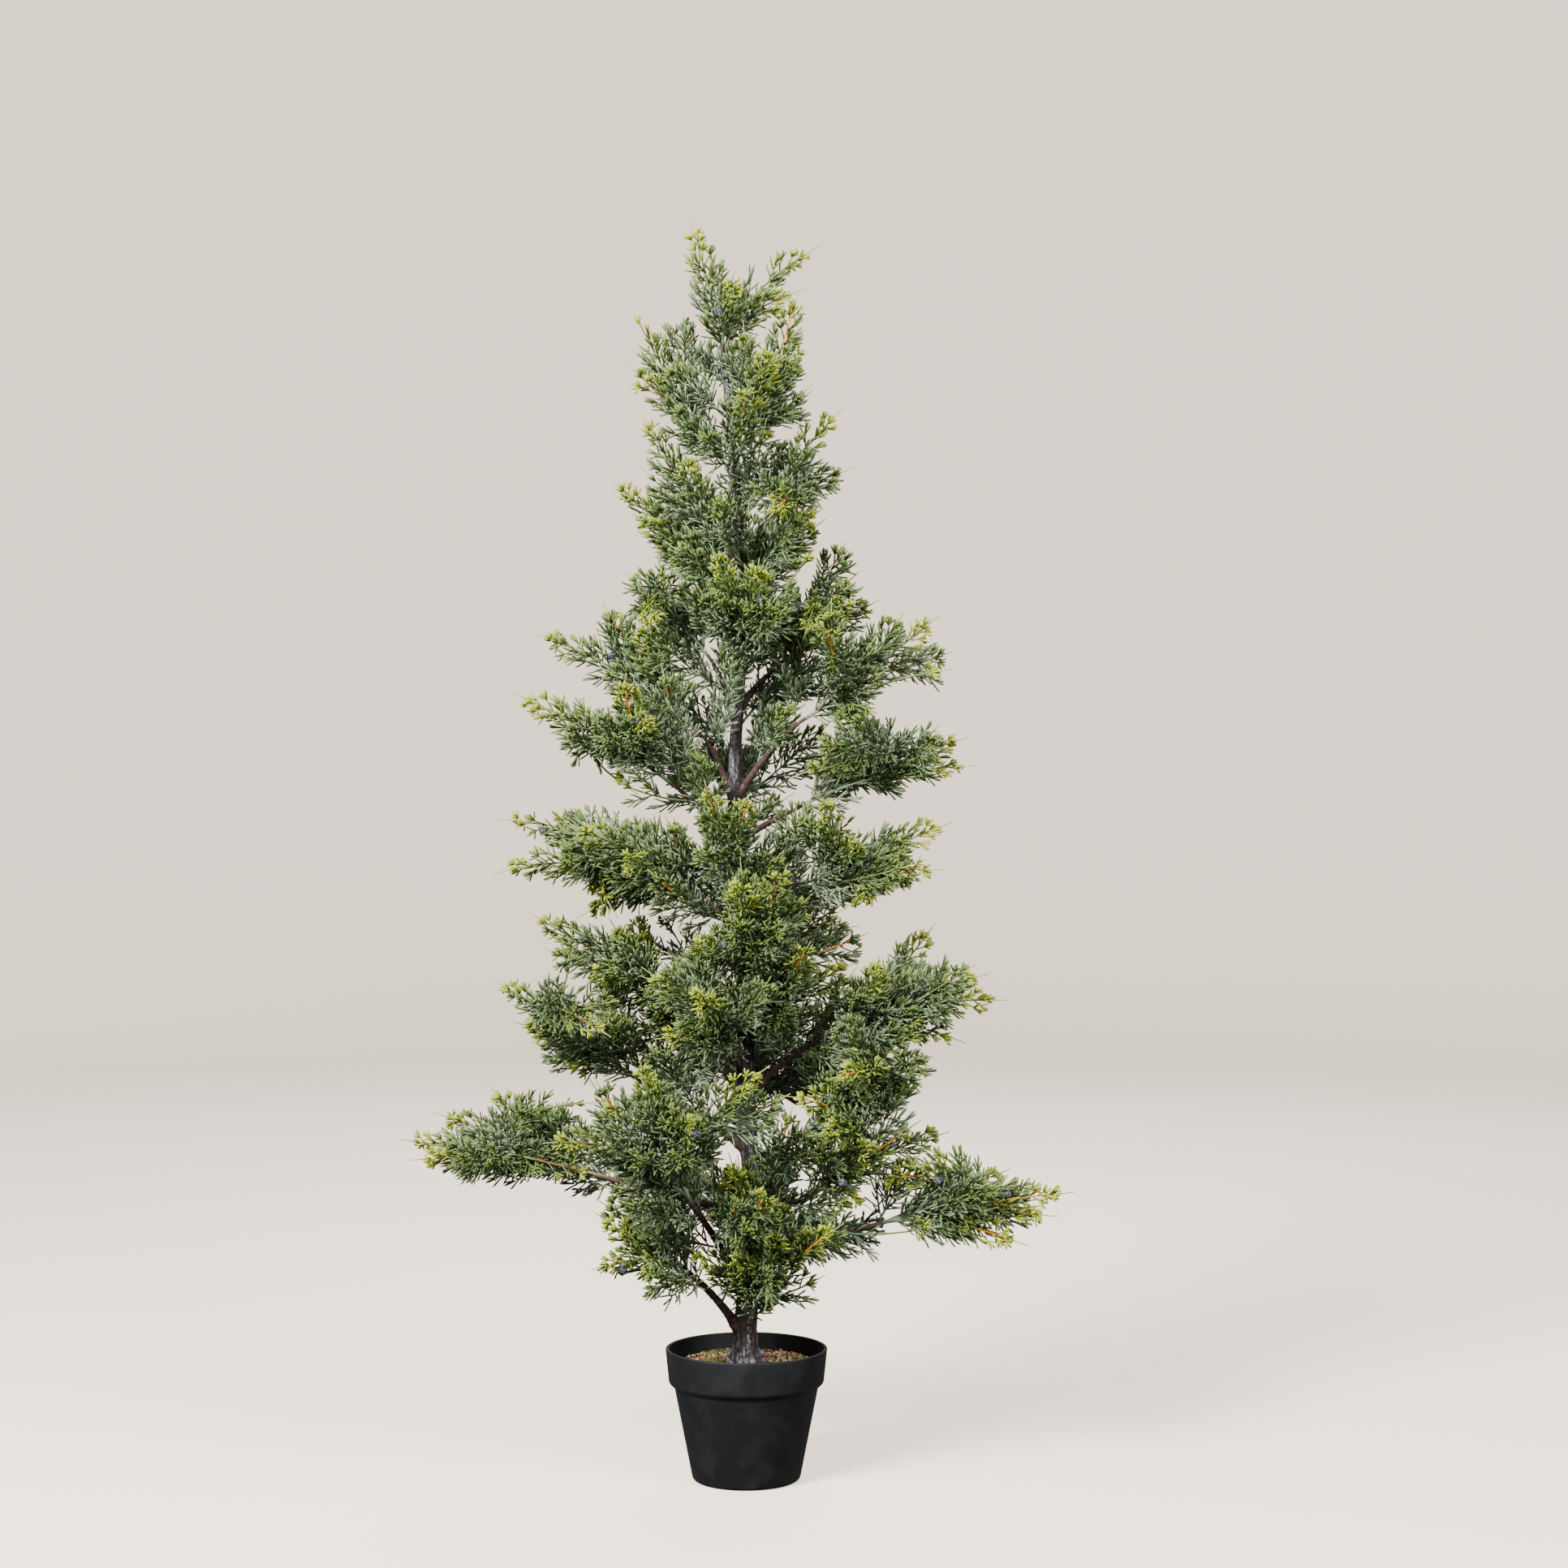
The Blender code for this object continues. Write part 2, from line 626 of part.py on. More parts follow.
def make_tree(bark, limb_bark, foliage):
    trunk = make_trunk(bark)
    plans = plan_branches()
    taken = [("trunk", BVHTree.FromObject(trunk, bpy.context.evaluated_depsgraph_get()))]
    for name, (bough, _, _) in plans.items():
        if bough:
            taken.append((name + "_bough", make_bough(name + "_bough", *bough, limb_bark)))
    masses = {name: [] for name in plans}
    sprays = grow_twigs(plans, masses, taken)
    grow_leaves(sprays, masses, taken)
    for name, solids in masses.items():
        fuse(name + "_foliage", solids, foliage)


def main():
    clear_scene()
    make_pot(make_material("black_plastic", (0.018, 0.019, 0.021), 0.45))
    make_soil(make_material("potting_fill", (0.22, 0.13, 0.07), 0.95))
    make_tree(
        make_material("bark", (0.045, 0.034, 0.034), 0.85),
        make_material("wrapped_limb", (0.075, 0.035, 0.028), 0.8),
        make_material("needles", (0.10, 0.18, 0.07), 0.6),
    )


main()
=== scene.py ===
"""The looks of a potted artificial juniper: pot, fill, trunk, boughs, needle sprays and berries."""

import random
from math import atan2, ceil, cos, exp, hypot, pi, radians, sin, sqrt, tau

import bmesh
import bpy
import numpy as np
from mathutils import Matrix, Vector, noise


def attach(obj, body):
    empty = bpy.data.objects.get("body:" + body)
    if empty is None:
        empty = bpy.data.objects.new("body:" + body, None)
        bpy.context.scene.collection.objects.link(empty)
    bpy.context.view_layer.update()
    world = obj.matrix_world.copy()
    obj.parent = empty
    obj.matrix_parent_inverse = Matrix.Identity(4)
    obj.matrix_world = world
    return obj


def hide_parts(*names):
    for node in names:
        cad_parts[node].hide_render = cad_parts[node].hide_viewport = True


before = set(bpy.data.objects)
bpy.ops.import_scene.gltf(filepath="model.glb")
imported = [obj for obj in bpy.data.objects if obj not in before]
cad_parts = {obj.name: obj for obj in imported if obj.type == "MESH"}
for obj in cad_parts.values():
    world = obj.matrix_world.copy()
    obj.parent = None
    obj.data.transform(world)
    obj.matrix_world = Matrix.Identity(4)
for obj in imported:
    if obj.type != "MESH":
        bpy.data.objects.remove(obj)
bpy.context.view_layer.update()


# Pot. A round black nursery pot, moulded in one piece of polypropylene with a fine matte grain.
# Its collar stands out over the tapering body on a chamfer, and a low ring under it is its foot.
POT_STEPS = 128  # round the pot
CORNER_STEPS = 4  # round each corner
POT_BLACK = (22, 23, 25)
POT_WORN = (29, 30, 32)
POT_DUST = (34, 34, 34)
POT_ROUGHNESS = (0.46, 0.58)
DUST_HEIGHT = 0.045  # how far up the pot the floor's dust reaches
MERGE = 1e-6  # points of one piece that are nearer than this are joined
POT_CORNERS = (  # radius, height and rounding of each corner, from under the pot to its inner floor
    (0.0000, 0.0016, 0.0000),
    (0.0405, 0.0016, 0.0006),
    (0.0425, 0.0000, 0.0008),
    (0.0520, 0.0000, 0.0036),
    (0.0697, 0.0893, 0.0008),
    (0.0751, 0.0945, 0.0012),
    (0.0785, 0.1270, 0.0013),
    (0.0750, 0.1270, 0.0012),
    (0.0718, 0.0945, 0.0020),
    (0.0667, 0.0893, 0.0020),
    (0.0500, 0.0040, 0.0030),
    (0.0000, 0.0040, 0.0000),
)


def linear(red, green, blue):
    """A colour given in the 0-255 steps of a screen, as the light that it stands for."""
    shares = [step / 255 for step in (red, green, blue)]
    return [s / 12.92 if s <= 0.04045 else ((s + 0.055) / 1.055) ** 2.4 for s in shares]


def ranged(value, low, high, start=0.0, end=1.0):
    """A value from start to end while the given one goes from low to high."""
    tree = value.id_data
    span = tree.nodes.new("ShaderNodeMapRange")
    for name, number in zip(("From Min", "From Max", "To Min", "To Max"), (low, high, start, end)):
        span.inputs[name].default_value = number
    tree.links.new(value, span.inputs["Value"])
    return span.outputs["Result"]


def grain_group():
    """Shared effect: fine moulded grain. Gives a height for a bump and a mask of worn spots."""
    group = bpy.data.node_groups.new("moulded_grain", "ShaderNodeTree")
    for side, sockets in (("INPUT", ("Size", "Spot Size")), ("OUTPUT", ("Height", "Spots"))):
        for socket in sockets:
            group.interface.new_socket(socket, in_out=side, socket_type="NodeSocketFloat")
    nodes, links = group.nodes, group.links
    given, put_out = nodes.new("NodeGroupInput"), nodes.new("NodeGroupOutput")
    place = nodes.new("ShaderNodeTexCoord")
    fine, wide = nodes.new("ShaderNodeTexNoise"), nodes.new("ShaderNodeTexNoise")
    fine.inputs["Detail"].default_value = 3
    wide.inputs["Detail"].default_value = 6
    for texture, size in ((fine, "Size"), (wide, "Spot Size")):
        links.new(place.outputs["Object"], texture.inputs["Vector"])
        links.new(given.outputs[size], texture.inputs["Scale"])
    links.new(fine.outputs["Fac"], put_out.inputs["Height"])
    links.new(ranged(wide.outputs["Fac"], 0.48, 0.72), put_out.inputs["Spots"])
    return group


GRAIN = grain_group()


def finish_of(name, colour, roughness, specular, size=0, spot_size=0, depth=0):
    """A new material, with moulded grain where a size for that is given. Returns it, its shader and
    the mask of the grain's worn spots."""
    material = bpy.data.materials.new(name)
    material.use_nodes = True
    nodes, links = material.node_tree.nodes, material.node_tree.links
    shader = nodes["Principled BSDF"]
    shader.inputs["Base Color"].default_value = (*linear(*colour), 1)
    shader.inputs["Roughness"].default_value = roughness
    shader.inputs["Specular IOR Level"].default_value = specular
    if not size:
        return material, shader, None
    grain = nodes.new("ShaderNodeGroup")
    grain.node_tree = GRAIN
    grain.inputs["Size"].default_value = size
    grain.inputs["Spot Size"].default_value = spot_size
    bump = nodes.new("ShaderNodeBump")
    bump.inputs["Strength"].default_value = 1.0
    bump.inputs["Distance"].default_value = depth
    links.new(grain.outputs["Height"], bump.inputs["Height"])
    links.new(bump.outputs["Normal"], shader.inputs["Normal"])
    return material, shader, grain.outputs["Spots"]


def mixed(mask, first, second):
    """A colour that goes from first to second with a mask. Each may be a colour or a socket."""
    tree = mask.id_data
    mix = tree.nodes.new("ShaderNodeMix")
    mix.data_type = "RGBA"
    tree.links.new(mask, mix.inputs["Factor"])
    for colour, socket in ((first, mix.inputs["A"]), (second, mix.inputs["B"])):
        if isinstance(colour, bpy.types.NodeSocket):
            tree.links.new(colour, socket)
        else:
            socket.default_value = (*linear(*colour), 1)
    return mix.outputs["Result"]


def recolour(shader, mask, first, second):
    """Gives a shader the colour that goes from first to second with a mask."""
    shader.id_data.links.new(mixed(mask, first, second), shader.inputs["Base Color"])


def times(first, second):
    """The product of two values."""
    tree = first.id_data
    product = tree.nodes.new("ShaderNodeMath")
    product.operation = "MULTIPLY"
    for value, socket in zip((first, second), product.inputs):
        tree.links.new(value, socket)
    return product.outputs["Value"]


def carried(shader, mask):
    """The values of a mask that a mesh carries."""
    attribute = shader.id_data.nodes.new("ShaderNodeAttribute")
    attribute.attribute_name = mask
    return attribute.outputs["Fac"]


def placed(name, data):
    """A new object in the scene."""
    item = bpy.data.objects.new(name, data)
    bpy.context.scene.collection.objects.link(item)
    return item


def add_piece(name, mesh, material, nodes=()):
    """A finished piece of the tree or pot, which stands for the given solids."""
    mesh.name = name
    mesh.materials.clear()
    mesh.materials.append(material)
    piece = placed(name, mesh)
    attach(piece, "root")
    if nodes:
        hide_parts(*nodes)


def mesh_from(shape):
    """A smooth mesh from a shape, which is used up."""
    mesh = bpy.data.meshes.new("mesh")
    shape.to_mesh(mesh)
    shape.free()
    mesh.shade_smooth()
    return mesh


def turned(corners, steps):
    """A closed turned shape, from the corners of half its section with their roundings."""
    shape = bmesh.new()
    points = [shape.verts.new((radius, 0, height)) for radius, height, _ in corners]
    for low, high in zip(points, points[1:]):
        shape.edges.new((low, high))
    for point, (_, _, rounding) in zip(points, corners):
        if rounding:
            bmesh.ops.bevel(
                shape, geom=[point], offset=rounding, offset_type="OFFSET", segments=CORNER_STEPS,
                profile=0.5, affect="VERTICES", material=-1,
            )
    bmesh.ops.spin(
        shape, geom=shape.verts[:] + shape.edges[:], axis=(0, 0, 1), cent=(0, 0, 0),
        angle=tau, steps=steps, use_merge=True,
    )
    bmesh.ops.remove_doubles(shape, verts=shape.verts, dist=MERGE)
    bmesh.ops.recalc_face_normals(shape, faces=shape.faces)
    return shape


pot_black, shader, spots = finish_of("pot_black", POT_BLACK, 0.55, 0.2, 1600, 38, 0.0003)
tree = shader.id_data
place = tree.nodes.new("ShaderNodeSeparateXYZ")
tree.links.new(tree.nodes.new("ShaderNodeTexCoord").outputs["Object"], place.inputs["Vector"])
dusty = times(ranged(place.outputs["Z"], DUST_HEIGHT, 0.0), spots)
recolour(shader, dusty, mixed(spots, POT_BLACK, POT_WORN), POT_DUST)
tree.links.new(ranged(spots, 0, 1, *POT_ROUGHNESS), shader.inputs["Roughness"])
pot = mesh_from(turned(POT_CORNERS, POT_STEPS))
add_piece("pot_shell", pot, pot_black, ["pot"])


# Fill. Weighted filler tops the pot to well below the rim, faced with glued bark crumbs and
# patches of green flock that stand for moss.
SOIL_LEVEL = 0.109
SOIL_DIP = 0.002  # how much lower the crust lies at the wall than round the trunk
SOIL_BANK = 0.0045  # how much higher the crust lies at the back
SOIL_STEPS = 96
SOIL_RINGS = 40
SOIL_EDGE = 0.0728  # the crust's radius
SOIL_SIDE = ((0.0700, 0.0950, 0), (0.0664, 0.0893, 0), (0.0495, 0.0045, 0), (0, 0.0045, 0))
SOIL_GRIT = 0.0011  # how far the crust rises and falls
CRUMBS = 1500
CRUMB_SIZES = (0.0007, 0.0017)
CRUMB_ROUGHNESS = 0.45
CRUMB_COLOURS = {
    "tan": (176, 148, 112), "rust": (150, 92, 56), "dark": (58, 44, 36), "green": (104, 108, 58)
}
CRUMB_MIX = {"tan": 5, "rust": 3, "dark": 3}
MOSS_FROM = 0.35  # the mossiness from which half of the crumbs are green
FLOCK_TUFTS = 3200
FLOCK_LENGTHS = (0.0010, 0.0024)
FLOCK_LEAN = 0.7


def soil_height(x, y):
    """The crust's level at a place: lower at the wall than at the trunk, banked at the back."""
    level = SOIL_LEVEL - SOIL_DIP * min(hypot(x, y) / SOIL_EDGE, 1) ** 2
    level += SOIL_BANK * max(y, 0) / SOIL_EDGE
    rough = noise.fractal(Vector((x, y, 0)) * 260, 0.8, 2.0, 4)
    return level + SOIL_GRIT * rough


def mossiness(x, y):
    """How green the crust is at a place: in patches, and more so at the front."""
    return noise.noise(Vector((x * 42 + 3, y * 42, 7))) + 0.25 - 3.2 * y


def joined_copies(shape, places):
    """One mesh of a shape's copies, each at a place given as the three rows of a matrix."""
    points = np.array([(*v.co, 1.0) for v in shape.vertices])
    faces = np.array([tuple(face.vertices) for face in shape.polygons])
    places = np.array(places)
    corners = np.einsum("nij,vj->nvi", places, points).reshape(-1, 3)
    firsts = np.arange(len(places)) * len(points)
    loops = (faces[None] + firsts[:, None, None]).reshape(-1)
    mesh = bpy.data.meshes.new("copies")
    mesh.vertices.add(len(corners))
    mesh.vertices.foreach_set("co", corners.reshape(-1))
    mesh.loops.add(len(loops))
    mesh.loops.foreach_set("vertex_index", loops)
    mesh.polygons.add(len(loops) // 3)
    mesh.polygons.foreach_set("loop_start", np.arange(0, len(loops), 3))
    mesh.update(calc_edges=True)
    mesh.shade_smooth()
    return mesh


def strewn(within):
    """A random place on the crust, within a share of its radius."""
    reach, turn = SOIL_EDGE * within * sqrt(rule.random()), rule.uniform(0, tau)
    return reach * cos(turn), reach * sin(turn)


def rows(turn, size, place):
    """The three rows of the matrix that turns, scales and moves a copy."""
    matrix = Matrix.Translation(place) @ turn.to_4x4() @ Matrix.Diagonal((*size, 1))
    return [tuple(row) for row in matrix[:3]]


edge = [(SOIL_EDGE * ring / SOIL_RINGS, SOIL_LEVEL, 0) for ring in range(SOIL_RINGS + 1)]
crust = turned([*edge, *SOIL_SIDE], SOIL_STEPS)
for point in crust.verts:
    if point.co.z > SOIL_LEVEL - SOIL_DIP:
        point.co.z = soil_height(point.co.x, point.co.y)
brown, shader, spots = finish_of("soil_brown", (112, 84, 60), 0.95, 0.2, 900, 150, 0.0009)
recolour(shader, spots, (86, 62, 44), (150, 124, 92))
add_piece("soil_crust", mesh_from(crust), brown, ["soil"])

rule = random.Random(7)
crumb = bmesh.new()
bmesh.ops.create_icosphere(crumb, subdivisions=1, radius=1)
for point in crumb.verts:
    point.co *= 1 + CRUMB_ROUGHNESS * noise.noise(point.co * 2.3)
crumb = mesh_from(crumb)
crumb_places = {kind: [] for kind in CRUMB_COLOURS}
for _ in range(CRUMBS):
    x, y = strewn(0.985)
    size = rule.uniform(*CRUMB_SIZES)
    kind = rule.choices(tuple(CRUMB_MIX), tuple(CRUMB_MIX.values()))[0]
    if mossiness(x, y) > MOSS_FROM and rule.random() < 0.5:
        kind = "green"
    spin = Matrix.Rotation(rule.uniform(0, tau), 3, Vector((rule.random(), 1, rule.random())))
    stretch = (size * rule.uniform(0.8, 1.9), size, size * rule.uniform(0.5, 0.9))
    crumb_places[kind].append(rows(spin, stretch, (x, y, soil_height(x, y) + size * 0.2)))
for kind, places in crumb_places.items():
    finish, *_ = finish_of(f"crumb_{kind}", CRUMB_COLOURS[kind], 0.9, 0.2, 1400, 200, 0.0004)
    add_piece(f"soil_crumbs_{kind}", joined_copies(crumb, places), finish)

tuft = bmesh.new()
bmesh.ops.create_cone(
    tuft, cap_ends=True, cap_tris=True, segments=3, radius1=0.16, radius2=0, depth=1,
    matrix=Matrix.Translation((0, 0, 0.5)),
)
bmesh.ops.triangulate(tuft, faces=tuft.faces)
tuft = mesh_from(tuft)
tufts = []
while len(tufts) < FLOCK_TUFTS:
    x, y = strewn(0.98)
    if mossiness(x, y) < rule.uniform(0.15, 0.6):
        continue
    aside, ahead = (
        Matrix.Rotation(rule.uniform(-FLOCK_LEAN, FLOCK_LEAN), 3, axis) for axis in ("X", "Y")
    )
    length = rule.uniform(*FLOCK_LENGTHS)
    tufts.append(rows(aside @ ahead, [length] * 3, (x, y, soil_height(x, y) - 0.0002)))
flock, *_ = finish_of("flock_green", (112, 122, 56), 0.95, 0.1)
add_piece("soil_flock", joined_copies(tuft, tufts), flock)


# Trunk. Polyethylene bark moulded over a steel rod: dark brown with upright fissures, root stubs at
# its foot and a collar at each limb, its ridges dry-brushed in pale grey.
TRUNK_BENDS = (  # height, offset to the right, offset to the back and radius
    (SOIL_LEVEL + 0.0003, 0.000, 0.000, 0.0150),
    (0.143, -0.001, 0.001, 0.0118),
    (0.200, 0.003, 0.002, 0.0106),
    (0.285, 0.005, 0.004, 0.0092),
    (0.361, 0.000, 0.003, 0.0088),
    (0.494, -0.003, -0.002, 0.0075),
    (0.623, -0.011, 0.002, 0.0064),
    (0.700, -0.011, 0.004, 0.0064),
    (0.781, -0.007, 0.000, 0.0050),
    (0.935, -0.009, -0.003, 0.0040),
    (1.060, -0.019, 0.000, 0.0035),
    (1.092, -0.023, 0.002, 0.0030),
)
TRUNK_STEPS = 60
TRUNK_RINGS = 560
TRUNK_SINK = 0.003  # how deep its foot stands in the crust
ROOT_FLARE = 0.0004  # how much wider its foot is
ROOT_RISE = 0.014  # height over which that runs out
ROOT_STUBS = (  # turn in degrees, height of its top, how far it stands out, half its width
    (183, 0.0135, 0.0040, 0.0034), (356, 0.0130, 0.0040, 0.0036), (250, 0.0060, 0.0030, 0.0040),
    (295, 0.0070, 0.0028, 0.0036), (60, 0.0100, 0.0040, 0.0040), (120, 0.0080, 0.0040, 0.0036),
)
FISSURE_DEPTH = 0.11  # share of the trunk's radius
LUMP_DEPTH = 0.07
LIMB_COLLAR = 0.0028  # how far the bark swells at a limb
COLLAR_RISE = 0.009
COLLAR_WIDTH = 0.006
BARK_BROWNS = ((30, 22, 22), (60, 45, 43))
BARK_PALE = (168, 165, 174)

# Each branch: height of its root on the trunk, end of its bough, tips of its sprays. Ends and tips
# are given as turn (degrees from the right, towards the back), reach from the pot's axis, height.
# Lengths in this table are in millimetres.
MM = 1000  # in a metre
BRANCH_TABLE = {
    "low_front": (151, None, (
        (286, 120, 261), (264, 100, 245), (317, 88, 207), (313, 135, 262), (232, 95, 238),
    )),
    "left_front_low": (152, (213, 72, 210), ((220, 187, 222), (206, 161, 270), (231, 148, 209))),
    "left_front": (182, (235, 87, 274), (
        (235, 171, 425), (278, 172, 417), (228, 270, 350), (223, 191, 385), (257, 185, 372),
    )),
    "back_low": (194, None, ((54, 185, 209), (120, 150, 300), (85, 190, 290))),
    "front_low": (206, None, ((277, 161, 300), (262, 110, 330))),
    "right_low": (217, (351, 106, 243), (
        (0, 317, 277), (352, 273, 231), (11, 265, 293), (352, 165, 325), (340, 120, 290),
        (357, 300, 256),
    )),
    "left_low": (253, (177, 118, 285), (
        (180, 337, 328), (189, 325, 315), (171, 313, 349), (176, 255, 382), (180, 137, 364),
        (134, 167, 317), (212, 151, 303),
    )),
    "right_low_upper": (253, (330, 59, 273), (
        (353, 170, 350), (11, 203, 331), (321, 158, 340), (296, 133, 346), (289, 95, 381),
        (335, 135, 266), (345, 95, 300),
    )),
    "right_middle_low": (300, (343, 53, 334), (
        (6, 180, 398), (336, 121, 429), (320, 170, 417), (68, 86, 411), (299, 160, 401),
    )),
    "left_middle_low": (324, (180, 98, 381), (
        (175, 250, 484), (190, 227, 446), (180, 187, 397), (231, 194, 441), (186, 130, 470),
    )),
    "back_middle_low": (345, None, ((78, 170, 445), (114, 175, 396), (43, 177, 374))),
    "left_middle_inner": (375, (142, 49, 407), (
        (138, 90, 509), (192, 95, 459), (100, 140, 470), (176, 150, 425),
    )),
    "right_middle": (377, (342, 74, 428), (
        (0, 236, 489), (15, 192, 535), (349, 255, 467), (324, 155, 512), (352, 213, 424),
    )),
    "front_middle_low": (400, None, ((256, 175, 485), (232, 137, 435), (215, 120, 500))),
    "front_middle_right": (425, None, ((297, 135, 527), (5, 110, 500))),
    "left_middle": (457, (171, 64, 468), (
        (175, 215, 548), (189, 134, 545), (151, 122, 555), (201, 164, 489), (150, 140, 456),
        (165, 110, 540),
    )),
    "front_middle": (465, None, ((286, 145, 599), (267, 150, 588), (249, 150, 524))),
    "left_high": (489, (237, 39, 546), (
        (171, 247, 638), (187, 244, 587), (155, 215, 640), (211, 193, 633), (228, 176, 602),
        (183, 165, 542), (200, 130, 545), (160, 75, 640),
    )),
    "back_middle": (489, (64, 45, 506), (
        (48, 168, 529), (27, 111, 557), (85, 170, 570), (125, 170, 565),
    )),
    "front_high": (544, None, ((254, 135, 676), (272, 140, 664))),
    "right_high": (552, (344, 53, 576), (
        (342, 199, 591), (0, 200, 636), (19, 182, 575), (301, 128, 666), (314, 154, 621),
        (325, 105, 550), (330, 100, 645),
    )),
    "left_upper_low": (615, (191, 67, 668), (
        (188, 228, 761), (222, 150, 776), (180, 104, 662), (238, 165, 733), (161, 153, 722),
        (182, 180, 750),
    )),
    "right_upper_low": (618, (0, 45, 647), (
        (8, 220, 719), (350, 222, 690), (34, 143, 760), (295, 98, 678), (36, 171, 715),
        (20, 75, 745),
    )),
    "back_high": (640, None, ((80, 170, 740), (112, 160, 700), (55, 160, 690))),
    "right_upper": (666, (345, 53, 732), (
        (351, 202, 783), (9, 190, 837), (295, 155, 824), (324, 152, 738),
    )),
    "left_upper": (670, (180, 39, 715), ((172, 212, 821), (161, 152, 852), (197, 103, 845))),
    "left_top_low": (747, (180, 33, 791), ((171, 125, 883), (131, 106, 872), (228, 121, 815))),
    "right_top_low": (750, (43, 29, 780), (
        (32, 93, 889), (0, 110, 879), (331, 124, 846), (301, 105, 807),
    )),
    "front_top_low": (772, None, ((276, 131, 881), (255, 122, 894), (315, 100, 900))),
    "back_crown": (820, None, ((95, 130, 930), (70, 120, 960))),
    "left_crown_low": (850, None, ((172, 136, 972), (144, 120, 968), (190, 115, 935))),
    "right_crown_low": (858, None, ((15, 76, 986), (327, 91, 937), (280, 122, 918))),
    "left_crown": (890, None, ((180, 104, 1034), (225, 85, 990))),
    "right_crown": (929, None, ((0, 95, 1038), (48, 95, 1000))),
    "front_crown": (968, None, ((272, 100, 1050),)),
    "left_top": (978, None, ((185, 117, 1080), (170, 116, 1141))),
    "right_top": (990, None, ((0, 54, 1113), (284, 83, 1090), (350, 52, 1150))),
    "top": (None, None, (
        (180, 55, 1223), (4, 72, 1196), (98, 50, 1174), (260, 61, 1158), (346, 60, 1150),
    )),
}


def at(turn, reach, height):
    """A place by its turn round the pot's axis in degrees, its reach from it, and its height."""
    return Matrix.Rotation(radians(turn), 3, "Z") @ Vector((reach / MM, 0, height / MM))


BRANCHES = {
    name: (height and height / MM, end and at(*end), [at(*tip) for tip in tips])
    for name, (height, end, tips) in BRANCH_TABLE.items()
}


def trunk_at(height):
    """The trunk's centre and radius at a height, on a smooth curve through its bends."""
    bends, last = TRUNK_BENDS, len(TRUNK_BENDS) - 1
    place = max(i for i in range(last) if i == 0 or bends[i][0] <= height)
    around = (Vector(bends[min(max(place + i, 0), last)]) for i in (-1, 0, 1, 2))
    before, here, above, after = around
    span = above[0] - here[0]
    share = (height - here[0]) / span
    rise = (above - before) * (span / max(above[0] - before[0], span))
    onward = (after - here) * (span / max(after[0] - here[0], span))
    blend = (
        here * (2 * share**3 - 3 * share**2 + 1) + rise * (share**3 - 2 * share**2 + share)
        + above * (3 * share**2 - 2 * share**3) + onward * (share**3 - share**2)
    )
    return Vector((blend[1], blend[2], height)), blend[3]


def rolled(length_steps, round_steps, skin_point, masks=()):
    """A limb's skin: a grid rolled into a tube and closed at its seam and ends. skin_point gives,
    for the share along and the turn, the point and a value for each named mask."""
    skin = bmesh.new()
    bmesh.ops.create_grid(skin, x_segments=round_steps, y_segments=length_steps, size=0.5)
    layers = [skin.verts.layers.float.new(mask) for mask in masks]
    for point in skin.verts:
        co, *values = skin_point(point.co.y + 0.5, (point.co.x + 0.5) * tau)
        point.co = co
        for layer, value in zip(layers, values):
            point[layer] = value
    bmesh.ops.remove_doubles(skin, verts=skin.verts, dist=1e-7)
    bmesh.ops.holes_fill(skin, edges=[edge for edge in skin.edges if edge.is_boundary], sides=0)
    bmesh.ops.recalc_face_normals(skin, faces=skin.faces)
    return skin


def spoke(turn, height=0):
    """A level unit vector at a turn, raised by a height."""
    return Vector((cos(turn), sin(turn), height))


def fissures(turn, height, radius):
    """Bark at a place round and up the trunk: 1 on a ridge, 0 deep in a fissure."""
    round_it = spoke(turn) * (1.3 + radius * 230)
    wander = noise.noise(round_it * 0.7 + Vector((0, 0, height * 45))) * 0.9
    coarse = noise.noise(round_it + Vector((wander, wander, height * 62)))
    fine = noise.noise(round_it * 2.3 + Vector((5, wander, height * 150)))
    furrow = exp(-((coarse / 0.11) ** 2)) * 0.75 + exp(-((fine / 0.10) ** 2)) * 0.45
    return max(0.0, 1 - furrow) * (0.8 + 0.2 * fine)


limb_roots = []
for height, end, tips in BRANCHES.values():
    if height:
        towards = end if end else sum(tips, Vector()) / len(tips)
        centre, _ = trunk_at(height)
        limb_roots.append((height, atan2(towards.y - centre.y, towards.x - centre.x)))


def turn_between(a, b):
    """The angle between two turns, the short way round."""
    return abs((a - b + pi) % tau - pi)


